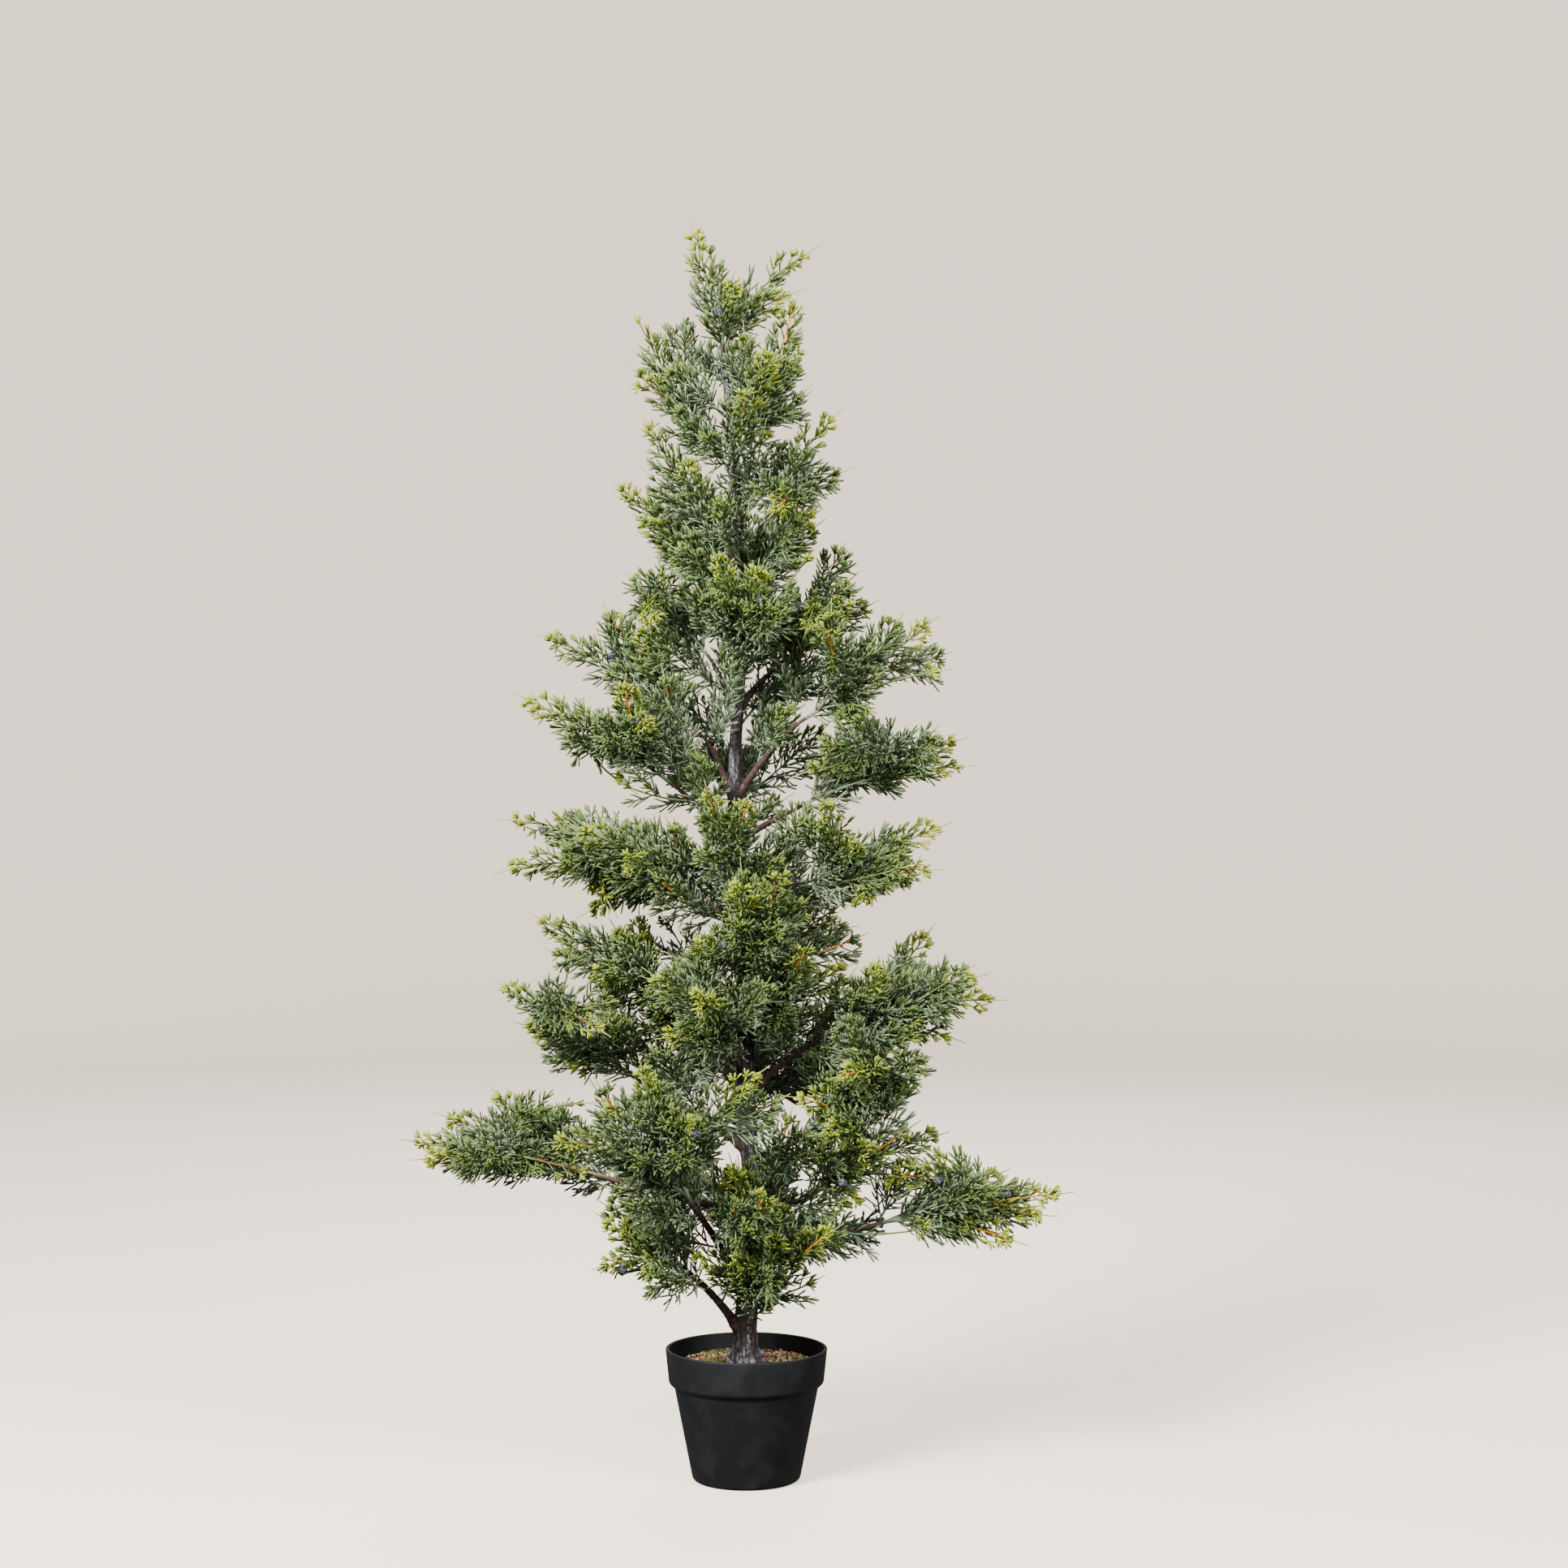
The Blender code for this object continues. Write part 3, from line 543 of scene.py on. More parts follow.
def trunk_skin(share, turn):
    """A point of the trunk's skin, and how pale it is there."""
    foot, top = TRUNK_BENDS[0][0] - TRUNK_SINK, TRUNK_BENDS[-1][0]
    height = foot + (top - foot) * share
    centre, radius = trunk_at(max(height, TRUNK_BENDS[0][0]))
    centre.z = height
    above = height - SOIL_LEVEL
    reach = radius + ROOT_FLARE * exp(-max(above, 0) / ROOT_RISE)
    stub_share = 0
    for stub_turn, stub_top, stands_out, half_width in ROOT_STUBS:
        off = turn_between(turn, radians(stub_turn)) * radius / half_width
        if off < 3 and above < stub_top + 0.006:
            fade = 1 if above < stub_top else exp(-(((above - stub_top) / 0.0022) ** 2))
            bead = 1 + 0.35 * exp(-(((above - stub_top) / 0.0030) ** 2))
            stub = exp(-off * off) * fade * bead
            reach += stands_out * stub
            stub_share = max(stub_share, stub)
    for root_height, root_turn in limb_roots:
        rise = (height - root_height) / COLLAR_RISE
        if abs(rise) < 2.5:
            off = turn_between(turn, root_turn) * radius / COLLAR_WIDTH
            reach += LIMB_COLLAR * exp(-rise * rise - off * off)
    bark = fissures(turn, height, radius)
    lump = noise.noise(spoke(turn, height * 30) * 1.4)
    reach += radius * FISSURE_DEPTH * (bark - 0.75) + radius * LUMP_DEPTH * lump
    patch = noise.noise(Vector((cos(turn) * 1.1, sin(turn) * 1.1, height * 34 + 11)))
    streak = noise.noise(spoke(turn) * (1.3 + radius * 330) + Vector((9, 0, height * 24)))
    patchy, streaky = (min(max(mask, 0), 1) for mask in (0.70 + 1.5 * patch, 0.42 + 2.4 * streak))
    pale = (bark - 0.46) * 2.5 * patchy * streaky + 0.45 * stub_share * bark
    return centre + spoke(turn) * reach, min(max(pale, 0), 1)


bark_brown, shader, spots = finish_of("bark_brown", (52, 42, 40), 0.8, 0.35, 700, 420, 0.0006)
brushed = times(carried(shader, "pale"), ranged(spots, 0, 0.75, 0.35, 1.0))
recolour(shader, brushed, mixed(spots, *BARK_BROWNS), BARK_PALE)
trunk = mesh_from(rolled(TRUNK_RINGS, TRUNK_STEPS, trunk_skin, ["pale"]))
add_piece("trunk_bark", trunk, bark_brown, ["trunk"])


# Boughs. Steel wires wrapped in overlapping red-brown crepe tape, set into the trunk. Each leaves
# it steeply, flattens, and ends where its needle sprays are pushed on.
BOUGH_ROOT_RADIUS = 0.0046
BOUGH_TIP_RADIUS = 0.0028
CROWN_THINNING = 0.45  # share of its radius that a limb at the trunk's top has lost
BOUGH_STEPS = 18
BOUGH_RING_SPACING = 0.0014
BOUGH_SINK = 0.006  # how deep it stands in the trunk
BOUGH_BEND = (0.42, 0.58)  # how far on and how far up it flattens, shares of the way to its end
ROOT_SWELL = 0.45  # how much thicker it is where it leaves the trunk, share of its radius
ROOT_SPAN = 0.008  # length over which that runs out
TAPE_PITCH = 0.0062
TAPE_EDGE = 0.00022
TAPE_CRUMPLE = 0.00035
CORE_FLARE = 0.006  # how much wider the solid trunk's foot is, which the limbs start clear of
CORE_RISE = 0.016
GAP = 0.0003  # between that foot and a limb


def root_on_trunk(height, target):
    """Where a limb that heads for target leaves the trunk, and the outward normal there."""
    centre, _ = trunk_at(height)
    outward = (target - centre).to_2d().to_3d().normalized()
    reach = 0
    for level in (height - ROOT_SPAN, height, height + ROOT_SPAN):
        middle, radius = trunk_at(level)
        flare = CORE_FLARE * exp((TRUNK_BENDS[0][0] - level) / CORE_RISE)
        reach = max(reach, (middle - centre).dot(outward) + radius + flare)
    return centre + outward * (reach + GAP), outward


def thinned(height):
    """Share of its full radius that a limb at this height has."""
    return 1 - CROWN_THINNING * height / TRUNK_BENDS[-1][0]


def on_curve(curve, share):
    """The point and the heading at a share of the way along a limb's curve."""
    root, bend, tip = curve
    low, high = root.lerp(bend, share), bend.lerp(tip, share)
    return low.lerp(high, share), (high - low).normalized()


def curve_length(curve):
    """The length of a limb's curve."""
    points = [on_curve(curve, step / 8)[0] for step in range(9)]
    return sum((b - a).length for a, b in zip(points, points[1:]))


def bough_curve(height, end):
    """A bough leaves the trunk steeply and flattens."""
    start, _ = root_on_trunk(height, end)
    way, (onward, upward) = end - start, BOUGH_BEND
    return start, start + Vector((way.x * onward, way.y * onward, way.z * upward)), end


def ring_axes(direction):
    """Two unit vectors square to a direction and to each other."""
    side = direction.cross(Vector((0, 0, 1)))
    if side.length < 0.1:
        side = direction.cross(Vector((0, 1, 0)))
    side.normalize()
    return side, side.cross(direction).normalized()


def taped_bough(curve, thin, seed):
    """The skin of a wrapped bough, sunk into the trunk and swollen where it leaves it."""
    length = curve_length(curve)
    start, heading = on_curve(curve, 0)
    root_radius, tip_radius = BOUGH_ROOT_RADIUS * thin, BOUGH_TIP_RADIUS * thin

    def skin_point(share, turn):
        along = share * (length + BOUGH_SINK) - BOUGH_SINK
        if along < 0:
            centre, heading_here = start + heading * along, heading
        else:
            centre, heading_here = on_curve(curve, along / length)
        across, over = ring_axes(heading_here)
        radius = root_radius + (tip_radius - root_radius) * max(along, 0) / length
        radius *= 1 + ROOT_SWELL * exp(-max(along, 0) / ROOT_SPAN)
        wrap = (along / TAPE_PITCH + turn / tau) % 1
        crumple = noise.noise(spoke(turn, along * 260) * 1.7 + Vector((seed, 0, 0)))
        radius += TAPE_EDGE * (wrap - 0.5) * 2 + TAPE_CRUMPLE * crumple
        end_round = min(max((length - along) / radius, 0), 1)
        radius *= sqrt(1 - (1 - end_round) ** 2) * 0.9 + 0.1
        side = across * cos(turn) + over * sin(turn)
        return centre + side * radius, wrap

    rings = max(6, round((length + BOUGH_SINK) / BOUGH_RING_SPACING))
    return rolled(rings, BOUGH_STEPS, skin_point, ["wrap"])


tape_brown, shader, spots = finish_of("tape_brown", (74, 52, 47), 0.78, 0.3, 1100, 240, 0.0004)
browns = mixed(spots, (62, 42, 38), (98, 74, 67))
# Painted shadow: the tape goes dark brown just below each overlapping edge of the wrap, where the
# edge above it casts its shade.
painted_edge_shadow = ranged(carried(shader, "wrap"), 0.0, 0.18, 1.0, 0.0)
recolour(shader, painted_edge_shadow, browns, (38, 26, 24))
boughs = bmesh.new()
for place, (height, end, _) in enumerate(BRANCHES.values()):
    if end:
        skin = mesh_from(taped_bough(bough_curve(height, end), thinned(height), place))
        boughs.from_mesh(skin)
        bpy.data.meshes.remove(skin)
bough_nodes = [name + "_bough" for name, (_, end, _) in BRANCHES.items() if end]
add_piece("boughs_taped", mesh_from(boughs), tape_brown, bough_nodes)


# Twigs. Each spray is pushed on a wire twig of moulded polyethylene: taped brown at its foot, pale
# blue-green further on, then a green spine, orange on many sprays, that ends in a bare spike.
SPRAY_LENGTH = 0.175
MOST_SPRAY = 0.93  # the largest share of its twig that a spray takes up
TWIG_BEND = 0.42  # how far along a twig bends, share of its length
TWIG_PULL = 1.2  # how much more its bend heads for its tip than on along its limb
TWIG_ARCH = 0.05  # how far a twig's middle rises, share of the ground that it covers
SPIKE_LENGTH = 0.020
STEM_RADIUS = 0.0028  # of the twig that carries a limb on, at its root
TWIG_RADIUS = 0.0021  # of the twigs that fork off it
FORK_RADIUS = 0.0015  # of the short twigs
FORK_TURN = 137.5  # degrees from each short twig to the next
FORK_DROP = 0.02  # the least rise of a short twig's heading
FORK_BEND = 0.45  # how far along it bends
FORK_LIFT = 0.24  # how much it turns up there
OPENING_TABLE = (  # gaps in the crown as the front shows them, mm: place across, height, radius
    (12, 1165, 12), (-118, 1100, 24), (63, 1038, 15), (-74, 1019, 12), (38, 1010, 14),
    (-96, 963, 12), (-131, 906, 19), (127, 889, 30), (53, 868, 14), (-156, 775, 12), (164, 757, 19),
    (140, 748, 19), (32, 693, 13), (-155, 682, 19), (15, 676, 10), (-192, 667, 30), (-33, 667, 10),
    (-115, 662, 9), (158, 659, 19), (182, 654, 14), (115, 648, 20), (-92, 643, 12), (137, 643, 15),
    (-50, 542, 12), (-168, 478, 12), (-245, 452, 19), (-262, 400, 30), (-183, 376, 15),
    (-156, 367, 20), (131, 336, 10), (-198, 266, 30), (145, 210, 30), (45, 183, 12), (203, 324, 14),
    (-153, 350, 10), (119, 746, 10),
)
OPENINGS = [[length / MM for length in opening] for opening in OPENING_TABLE]
FRONT_EYE = Vector((0.036, -2.745, 0.673))  # where the crown is seen from
UNEVEN = (0.8, 1.2)  # how much a spacing or a lean varies
BOUGH_FORKS = (0.0175, (0.090, 0.140), radians(52))  # their spacing, lengths and lean
TWIG_FORKS = (0.0255, (0.065, 0.100), radians(44))
FORKS_FROM = (0.30, 0.12)  # the share of a bough and of a long twig up to their first
BARE_OF_FORKS = 0.085  # the outer length of each twig that carries none
TRUNK_FORKS = 0.0135  # up the trunk
TRUNK_FORK_LENGTHS = (0.070, 0.105)
TRUNK_FORKS_FROM = 0.245
OPEN_IN_FRONT = (  # heights between which the trunk shows from the front
    (0.268, 0.386), (0.489, 0.560), (0.646, 0.788), (0.905, 0.990), (1.065, 1.100),
)
AT_THE_BACK = (45, 135)  # turns between which the trunk carries short twigs there too
SPINE_RADIUS = 0.0008
SPIKE_RADIUS = 0.0004
STEM_POINTS = 24


def twig_curves(start, heading, tips, first_fork=2):
    """Each twig's (root, bend, tip). The first carries its limb on, and the rest fork off it, from
    the given twelfth of its length on."""
    curves, forks = [], [(start, heading)]
    for tip in tips:
        root, lead = min(forks, key=lambda fork: abs((tip - fork[0]).length - SPRAY_LENGTH))
        way = tip - root
        bend = root + (lead + way.normalized() * TWIG_PULL).normalized() * (way.length * TWIG_BEND)
        bend.z += way.to_2d().length * TWIG_ARCH
        curves.append((root, bend, tip))
        if len(curves) == 1:
            points = [on_curve(curves[0], step / 12)[0] for step in range(13)]
            forks = [
                (points[place], (points[place + 1] - points[place]).normalized())
                for place in range(first_fork, 8)
            ]
    return curves


def tilted(direction, lean, turn, across=None):
    """A direction that leans away from the given one, to the side that turn gives."""
    if across is None:
        across, _ = ring_axes(direction)
    over = direction.cross(across)
    side = across * cos(turn) + over * sin(turn)
    return direction * cos(lean) + side * sin(lean)


def in_opening(place):
    """Whether a place is seen in one of the crown's openings."""
    seen = FRONT_EYE + (place - FRONT_EYE) * (FRONT_EYE.y / (FRONT_EYE.y - place.y))
    return any(hypot(seen.x - x, seen.z - z) < radius for x, z, radius in OPENINGS)


def side_twigs(carrier, first, last, spacing, lengths, lean):
    """Short twigs that fork off a limb between two shares of it, each a turn on round it."""
    size = curve_length(carrier)
    place, turn, found = first * size, rule.uniform(0, tau), []
    while place < last * size:
        root, along = on_curve(carrier, place / size)
        heading = tilted(along, lean * rule.uniform(*UNEVEN), turn)
        heading = (heading + Vector((0, 0, max(0, FORK_DROP - heading.z)))).normalized()
        length = rule.uniform(*lengths)
        onward = (heading + along * 0.45 + Vector((0, 0, FORK_LIFT))).normalized()
        bend = root + heading * (length * FORK_BEND)
        fork = (root, bend, bend + onward * (length * (1 - FORK_BEND)))
        if not in_opening(fork[2]) and not in_opening(on_curve(fork, 0.7)[0]):
            found.append(fork)
        place += spacing * rule.uniform(*UNEVEN)
        turn += radians(FORK_TURN)
    return found


sprays = []  # branch, order in it, curve, radius at its root, whether it is an outer one
for name, (height, end, tips) in BRANCHES.items():
    if height is None:
        (top, _), (below, _) = (trunk_at(TRUNK_BENDS[-1][0] - drop) for drop in (0, 0.01))
        start, heading = top, (top - below).normalized()
    elif end is None:
        start, outward = root_on_trunk(height, sum(tips, Vector()) / len(tips))
        heading = (outward + Vector((0, 0, 1))).normalized()
    else:
        curve = bough_curve(height, end)
        start, heading = curve[2], on_curve(curve, 1)[1]
    rule = random.Random(name)
    leaders = twig_curves(start, heading, tips, 2 if height else 0)
    sides = []
    if end:
        sides += side_twigs(curve, FORKS_FROM[0], 1, *BOUGH_FORKS)
    for leader in leaders if height else ():
        last = 1 - BARE_OF_FORKS / curve_length(leader)
        sides += side_twigs(leader, FORKS_FROM[1], last, *TWIG_FORKS)
    for order, curve in enumerate(leaders + sides):
        outer = order < len(leaders)
        root_radius = (TWIG_RADIUS if order else STEM_RADIUS) if outer else FORK_RADIUS
        sprays.append((name, order, curve, root_radius * thinned(curve[0].z), outer))
rule = random.Random("trunk")
height, turn = TRUNK_FORKS_FROM, 0
while height < TRUNK_BENDS[-1][0] - 0.008:
    turn = (turn + FORK_TURN) % 360
    shows = any(low < height < high for low, high in OPEN_IN_FRONT)
    if not shows or AT_THE_BACK[0] < turn < AT_THE_BACK[1]:
        middle, _ = trunk_at(height)
        root, outward = root_on_trunk(height, middle + at(turn, MM, 0))
        length = rule.uniform(*TRUNK_FORK_LENGTHS)
        bend = root + (outward + Vector((0, 0, 0.9))).normalized() * (length * 0.4)
        tip = bend + (outward + Vector((0, 0, 0.6))).normalized() * (length * 0.6)
        if not in_opening(tip):
            root_radius = TWIG_RADIUS * thinned(height)
            sprays.append(("trunk", len(sprays), (root, bend, tip), root_radius, False))
    height += TRUNK_FORKS


def stem_radius(curve, root_radius, share):
    """A stem thins evenly to its spine, and to a point along its spike."""
    left = (1 - share) * curve_length(curve)
    if left < SPIKE_LENGTH:
        return SPIKE_RADIUS + (SPINE_RADIUS - SPIKE_RADIUS) * left / SPIKE_LENGTH
    return SPINE_RADIUS + (root_radius - SPINE_RADIUS) * (1 - share) ** 1.3


def stems(runs):
    """A mesh of round tapering stems. Each run is a list of (point, radius)."""
    data = bpy.data.curves.new("stems", "CURVE")
    data.dimensions = "3D"
    data.bevel_depth = 1.0
    data.bevel_resolution = 1
    data.use_fill_caps = True
    for run in runs:
        spline = data.splines.new("POLY")
        spline.points.add(len(run) - 1)
        for point, (place, radius) in zip(spline.points, run):
            point.co = (*place, 1)
            point.radius = radius
    maker = bpy.data.objects.new("stems", data)
    mesh = bpy.data.meshes.new_from_object(maker)
    bpy.data.objects.remove(maker)
    bpy.data.curves.remove(data)
    closed = bmesh.new()
    closed.from_mesh(mesh)
    bpy.data.meshes.remove(mesh)
    bmesh.ops.remove_doubles(closed, verts=closed.verts, dist=MERGE)
    bmesh.ops.recalc_face_normals(closed, faces=closed.faces)
    return mesh_from(closed)


STEM_KINDS = {  # colour, roughness
    "taped": ((84, 60, 52), 0.78),
    "pale": ((120, 140, 112), 0.55),
    "green": ((96, 112, 52), 0.55),
    "brown": ((112, 78, 44), 0.6),
    "orange": ((216, 136, 38), 0.5),
    "spike": ((150, 160, 84), 0.55),
}
ORANGE_SPINES = 0.25  # share of the outer sprays
WARM_SPINES = 0.45  # share that are orange or brown
stem_runs = {kind: [] for kind in STEM_KINDS}
rule = random.Random(11)
for _, _, curve, root_radius, outer in sprays:
    length = curve_length(curve)
    spray = min(SPRAY_LENGTH, length * MOST_SPRAY)
    bare = 1 - spray / length
    warm = rule.random() if outer else rule.uniform(0.2, 1)
    turns_at = 1 - spray * rule.uniform(0.28, 0.5) / length
    ending = "orange" if warm < ORANGE_SPINES else ("brown" if warm < WARM_SPINES else "green")
    taped, paled, spiked = bare * 0.75, bare + (turns_at - bare) * 0.5, 1 - SPIKE_LENGTH / length
    ends = (
        ("taped", 0.0, taped), ("pale", taped, paled), ("green", paled, turns_at),
        (ending, turns_at, spiked), ("spike", spiked, 1.0),
    )
    for kind, low, high in ends:
        if (high - low) * length < 0.002:
            continue
        count = max(3, round(STEM_POINTS * (high - low)))
        shares = [low + (high - low) * step / (count - 1) for step in range(count)]
        stem_runs[kind].append([
            (on_curve(curve, share)[0], stem_radius(curve, root_radius, share)) for share in shares
        ])
masses = [name + "_foliage" for name in BRANCHES]
for kind, (colour, roughness) in STEM_KINDS.items():
    finish, *_ = finish_of(f"stem_{kind}", colour, roughness, 0.4, 1300, 300, 0.0002)
    add_piece(f"stems_{kind}", stems(stem_runs[kind]), finish, masses)


# Needles. Soft moulded polyethylene: side shoots stand close along each spine in three ranks, each
# a few curved needles on a short stem, blue-green at a spray's foot and yellow-green at its tip.
SHOOT_SPACING = 0.0046
SHOOT_STEMS = (0.0050, 0.0270)  # their lengths at a spray's tip and further in
SHOOT_LEANS = (radians(52), radians(44))  # from the spine, at a spray's tip and foot
SHOOT_CURVE = 0.26  # how far a shoot's stem bends forward, share of its length
SHOOT_GROWTH = (0.068, 0.036)  # length over which they grow, from an outer and an inner tip
STARS_UNTIL = 0.42  # shoots that have grown less than this are stars on short stems
STAR = (7, 1.15)  # a star's needles and their widest lean
STAR_SPACING = 0.0040
SHOOT_END = (3, 0.55)  # the needles at a longer shoot's end and their widest lean
TIP_NEEDLES = 6  # round the foot of a spray's spike
SHADE_SPAN = 0.130  # length from a spray's tip over which its colour changes
INNER_SHADE = 0.30  # how far on in those colours the short twigs inside the crown start
RANK_TURN = tau / 3
RANK_JITTER = radians(38)
NEEDLE_LENGTHS = (0.0090, 0.0172)  # at a spray's tip and further in
NEEDLE_RADIUS = 0.00108
NEEDLE_WIDEST = 0.80  # share of its length
NEEDLE_SPACING = 0.0068  # of the pairs along a shoot
NEEDLE_LEAN = radians(42)
NEEDLE_CURL = 0.16  # how far a needle's tip curls forward, share of its length
NEEDLES_IN_PIECE = 18000
FRESHNESS = (0.24, 0.04)  # how far in the tips' colours reach on outer and inner sprays
FRESHNESS_SPREAD = 0.25
BERRY_SHARE = 0.42  # of the outer sprays
BERRY_PLACES = (0.035, 0.080)  # from the spray's tip
BERRY_STALK = 0.010
BERRY_RADII = (0.0042, 0.0049)
NEEDLE_KINDS = {  # from the tips of the sprays inwards
    "lime": (156, 168, 52), "yellow": (136, 150, 48), "olive": (112, 128, 46),
    "green": (97, 115, 52), "deep": (92, 110, 64), "blue": (106, 124, 90),
    "frosted": (138, 151, 117),
}

needle = bmesh.new()
bmesh.ops.create_cone(
    needle, cap_ends=True, segments=3, radius1=0.8, radius2=0, depth=1,
    matrix=Matrix.Translation((0, 0, 0.5)),
)
cut = bmesh.ops.bisect_plane(
    needle, geom=needle.verts[:] + needle.edges[:] + needle.faces[:],
    plane_co=(0, 0, NEEDLE_WIDEST), plane_no=(0, 0, 1),
)
for point in (item for item in cut["geom_cut"] if isinstance(item, bmesh.types.BMVert)):
    point.co.xy = point.co.xy.normalized()
bmesh.ops.triangulate(needle, faces=needle.faces)
bmesh.ops.recalc_face_normals(needle, faces=needle.faces)
needle = mesh_from(needle)


def needle_rows(place, direction, forward, length, radius):
    """The rows that lay a needle from place along direction, its curl towards forward."""
    along = direction.normalized()
    curl = forward - along * forward.dot(along)
    curl = curl.normalized() if curl.length > 1e-4 else ring_axes(along)[0]
    side = along.cross(curl)
    return [(curl[i] * radius, side[i] * radius, along[i] * length, place[i]) for i in range(3)]


def curled(shape, places, curl):
    """Joined copies whose far ends curl towards each copy's first axis."""
    places = np.array(places)
    mesh = joined_copies(shape, places)
    lengths = np.linalg.norm(places[:, :, 2], axis=1)
    unit = places[:, :, 0] / np.linalg.norm(places[:, :, 0], axis=1)[:, None]
    shift = curl * np.array([v.co.z for v in shape.vertices]) ** 2
    moved = (unit * lengths[:, None])[:, None, :] * shift[None, :, None]
    corners = np.empty(len(mesh.vertices) * 3)
    mesh.vertices.foreach_get("co", corners)
    mesh.vertices.foreach_set("co", corners + moved.reshape(-1))
    mesh.update()
    return mesh


def between(ends, share):
    """The value at a share of the way from one end to the other."""
    start, end = ends
    return start + (end - start) * share


def kind_at(place, fresh):
    """The kind of a needle by its place in the spray, 0 at the tip and 1 at the foot."""
    steps = (
        ("lime", 0.24 * fresh - 0.08), ("yellow", 0.28 * fresh - 0.03),
        ("olive", 0.08 + 0.30 * fresh), ("green", 0.30 + 0.18 * fresh),
        ("deep", 0.54), ("blue", 0.80),
    )
    return next((kind for kind, limit in steps if place < limit), "frosted")


needle_places = {kind: [] for kind in NEEDLE_KINDS}
shoot_places = {kind: [] for kind in NEEDLE_KINDS}
berry_places = []
for name, order, curve, _, outer in sprays:
    rule = random.Random(f"{name} {order}")
    length = curve_length(curve)
    spray = min(SPRAY_LENGTH, length * MOST_SPRAY)
    fresh = min(max(rule.gauss(FRESHNESS[0 if outer else 1], FRESHNESS_SPREAD), 0), 1)
    depth = 0 if outer else INNER_SHADE

    def put_needle(place, along, lean, turn, size, shade, across=None):
        direction = tilted(along, lean, turn, across)
        needle_places[kind_at(shade, fresh)].append(
            needle_rows(place, direction, along, size, NEEDLE_RADIUS)
        )

    point, along = on_curve(curve, 1 - SPIKE_LENGTH / length)
    for step in range(TIP_NEEDLES):
        turn = tau * step / TIP_NEEDLES + rule.uniform(-0.3, 0.3)
        lean = rule.uniform(0.4, 0.8)
        put_needle(point, along, lean, turn, NEEDLE_LENGTHS[0] * rule.uniform(0.8, 1.1), depth)
    distance, rank = SPIKE_LENGTH + 0.002, rule.randrange(3)
    while distance < spray:
        point, along = on_curve(curve, 1 - distance / length)
        inward = distance - SPIKE_LENGTH
        grown = min(inward / SHOOT_GROWTH[0 if outer else 1], 1)
        turn = (rank + 0.5) * RANK_TURN + rule.uniform(-RANK_JITTER, RANK_JITTER)
        heading = tilted(along, between(SHOOT_LEANS, grown) * rule.uniform(*UNEVEN), turn)
        stem = between(SHOOT_STEMS, grown) * rule.uniform(0.8, 1.15)
        if in_opening(point + heading * stem):
            distance += SHOOT_SPACING
            continue
        size = between(NEEDLE_LENGTHS, grown)
        forward = along - heading * along.dot(heading)
        across = heading.cross(along).normalized()
        shade = depth + inward / SHADE_SPAN + rule.uniform(-0.12, 0.12)
        shoot_places[kind_at(shade, fresh)].append(
            needle_rows(point, heading, along, stem * 1.08, NEEDLE_RADIUS * 0.9)
        )
        pairs = 0 if grown < STARS_UNTIL else max(1, round(stem / NEEDLE_SPACING))
        for step in range(pairs):
            share = (step + 0.75) / (pairs + 0.25)
            place = point + heading * (stem * share) + forward * (stem * SHOOT_CURVE * share**2)
            tangent = (heading + forward * (2 * SHOOT_CURVE * share)).normalized()
            turn = step * 1.25 + rule.uniform(-0.5, 0.5)
            for side_turn in (turn, turn + pi):
                lean = NEEDLE_LEAN * rule.uniform(0.75, 1.3)
                size_here = size * rule.uniform(0.8, 1.08)
                put_needle(place, tangent, lean, side_turn, size_here, shade - 0.10 * share, across)
        place = point + heading * stem + forward * (stem * SHOOT_CURVE)
        tangent = (heading + forward * (2 * SHOOT_CURVE)).normalized()
        points, widest = SHOOT_END if pairs else STAR
        for step in range(points):
            lean = rule.uniform(0.1, widest) if step else 0.08
            turn = step * tau / points + rule.uniform(-0.4, 0.4)
            size_here = size * rule.uniform(0.75, 1.0)
            put_needle(place, tangent, lean, turn, size_here, shade - 0.12, across)
        distance += (SHOOT_SPACING if pairs else STAR_SPACING) * rule.uniform(*UNEVEN)
        rank += 1
    if outer and rule.random() < BERRY_SHARE:
        point, along = on_curve(curve, 1 - rule.uniform(*BERRY_PLACES) / length)
        side = tilted(along, pi / 2, rule.uniform(0, tau))
        side = (side + Vector((0, -0.4, 0.6))).normalized()
        size = rule.uniform(*BERRY_RADII)
        turn = side.to_track_quat("Z", "Y").to_matrix()
        berry_places.append(rows(turn, [size] * 3, point + side * BERRY_STALK))
        shoot_places["green"].append(
            needle_rows(point, side, along, BERRY_STALK, NEEDLE_RADIUS * 0.9)
        )

for kind, colour in NEEDLE_KINDS.items():
    finish, *_ = finish_of(f"needle_{kind}", colour, 0.37, 0.55)
    parts = ceil(len(needle_places[kind]) / NEEDLES_IN_PIECE)
    for part in range(parts):
        title = f"needles_{kind}" if parts == 1 else f"needles_{kind}_{part + 1}"
        leaves = curled(needle, needle_places[kind][part::parts], NEEDLE_CURL)
        add_piece(title, leaves, finish, masses)
    shoots = curled(needle, shoot_places[kind], SHOOT_CURVE)
    add_piece(f"shoots_{kind}", shoots, finish, masses)


# Berries. Hard foam balls with a knobbly skin, painted slate blue with a grey bloom, each glued to
# a short stalk on a spine near the end of its spray.
berry = bmesh.new()
bmesh.ops.create_icosphere(berry, subdivisions=3, radius=1)
for point in berry.verts:
    point.co *= 0.92 + 0.28 * (abs(noise.noise(point.co * 3.1)) * 1.4)
berry = mesh_from(berry)
berry_blue, shader, spots = finish_of("berry_blue", (72, 84, 88), 0.6, 0.4, 1500, 520, 0.0004)
recolour(shader, spots, (40, 42, 48), (128, 142, 140))
add_piece("berries", joined_copies(berry, berry_places), berry_blue, masses)


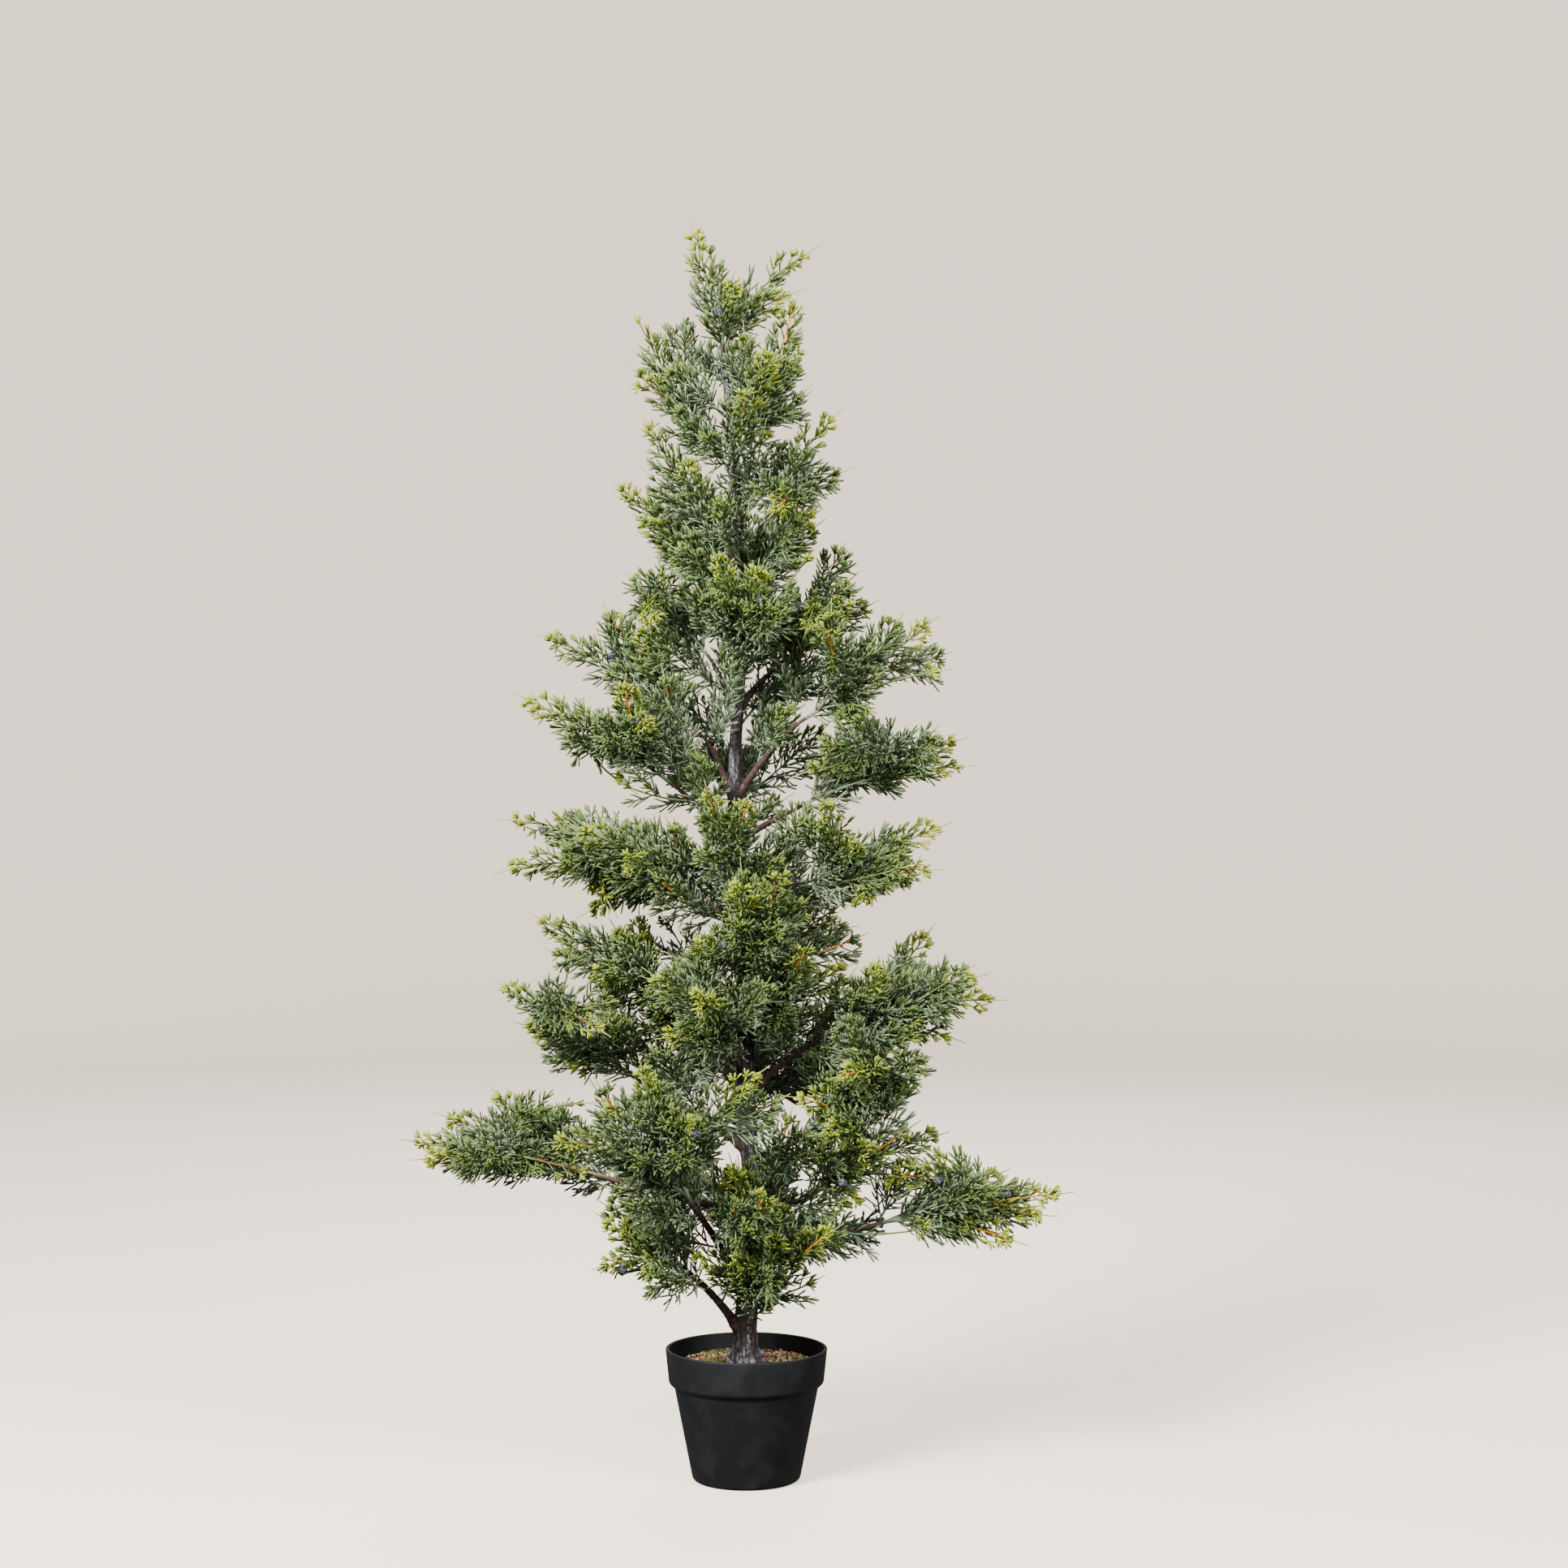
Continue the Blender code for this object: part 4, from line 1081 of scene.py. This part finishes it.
# Studio. A pale floor that runs into a round backdrop, soft lights high at both sides of the front,
# and a level camera at the height of the tree's middle.
FLOOR_RADIUS = 4.2
BACKDROP_BEND = 1.2  # radius of the bend between floor and backdrop
BACKDROP_HEIGHT = 5.5
BACKDROP_STEPS = 96
BACKDROP_GLOW = 1.0
LIGHTS = (  # name, place, size, power
    ("key_light", (-1.7, -2.2, 2.3), 1.2, 400),
    ("fill_light", (1.9, -2.0, 1.9), 1.6, 130),
    ("back_light", (0.4, 2.4, 2.6), 1.8, 80),
)
LIGHTS_AIM = Vector((0, 0, 0.6))
WORLD_STRENGTH = 0.16
CAMERA_PLACE = (0.0364, -2.745, 0.6727)
CAMERA_LENS = 65.05
bend = [
    (FLOOR_RADIUS + BACKDROP_BEND * sin(turn), BACKDROP_BEND * (1 - cos(turn)), 0)
    for turn in (pi / 2 * step / 12 for step in range(13))
]
top = (FLOOR_RADIUS + BACKDROP_BEND, BACKDROP_HEIGHT, 0)
floor = turned([(0, 0, 0), *bend, top], BACKDROP_STEPS)
bmesh.ops.reverse_faces(floor, faces=floor.faces)
floor = placed("floor", mesh_from(floor))
backdrop, shader, _ = finish_of("backdrop", (232, 220, 204), 0.9, 0.2)
shader.inputs["Emission Color"].default_value = (1.0, 0.83, 0.65, 1)
shader.inputs["Emission Strength"].default_value = BACKDROP_GLOW
floor.data.materials.append(backdrop)
floor.visible_diffuse = floor.visible_glossy = floor.visible_shadow = False

for name, place, size, power in LIGHTS:
    light = bpy.data.lights.new(name, "AREA")
    light.size = size
    light.energy = power
    lamp = placed(name, light)
    lamp.location = place
    lamp.rotation_euler = (LIGHTS_AIM - Vector(place)).to_track_quat("-Z", "Y").to_euler()
world = bpy.data.worlds.new("studio")
world.use_nodes = True
sky = world.node_tree.nodes["Background"].inputs
sky["Color"].default_value = (1.0, 0.98, 0.95, 1)
sky["Strength"].default_value = WORLD_STRENGTH
bpy.context.scene.world = world

camera = bpy.data.cameras.new("camera")
camera.sensor_width = 36
camera.lens = CAMERA_LENS
eye = placed("camera", camera)
eye.location = CAMERA_PLACE
eye.rotation_euler = (pi / 2, 0, 0)
bpy.context.scene.camera = eye
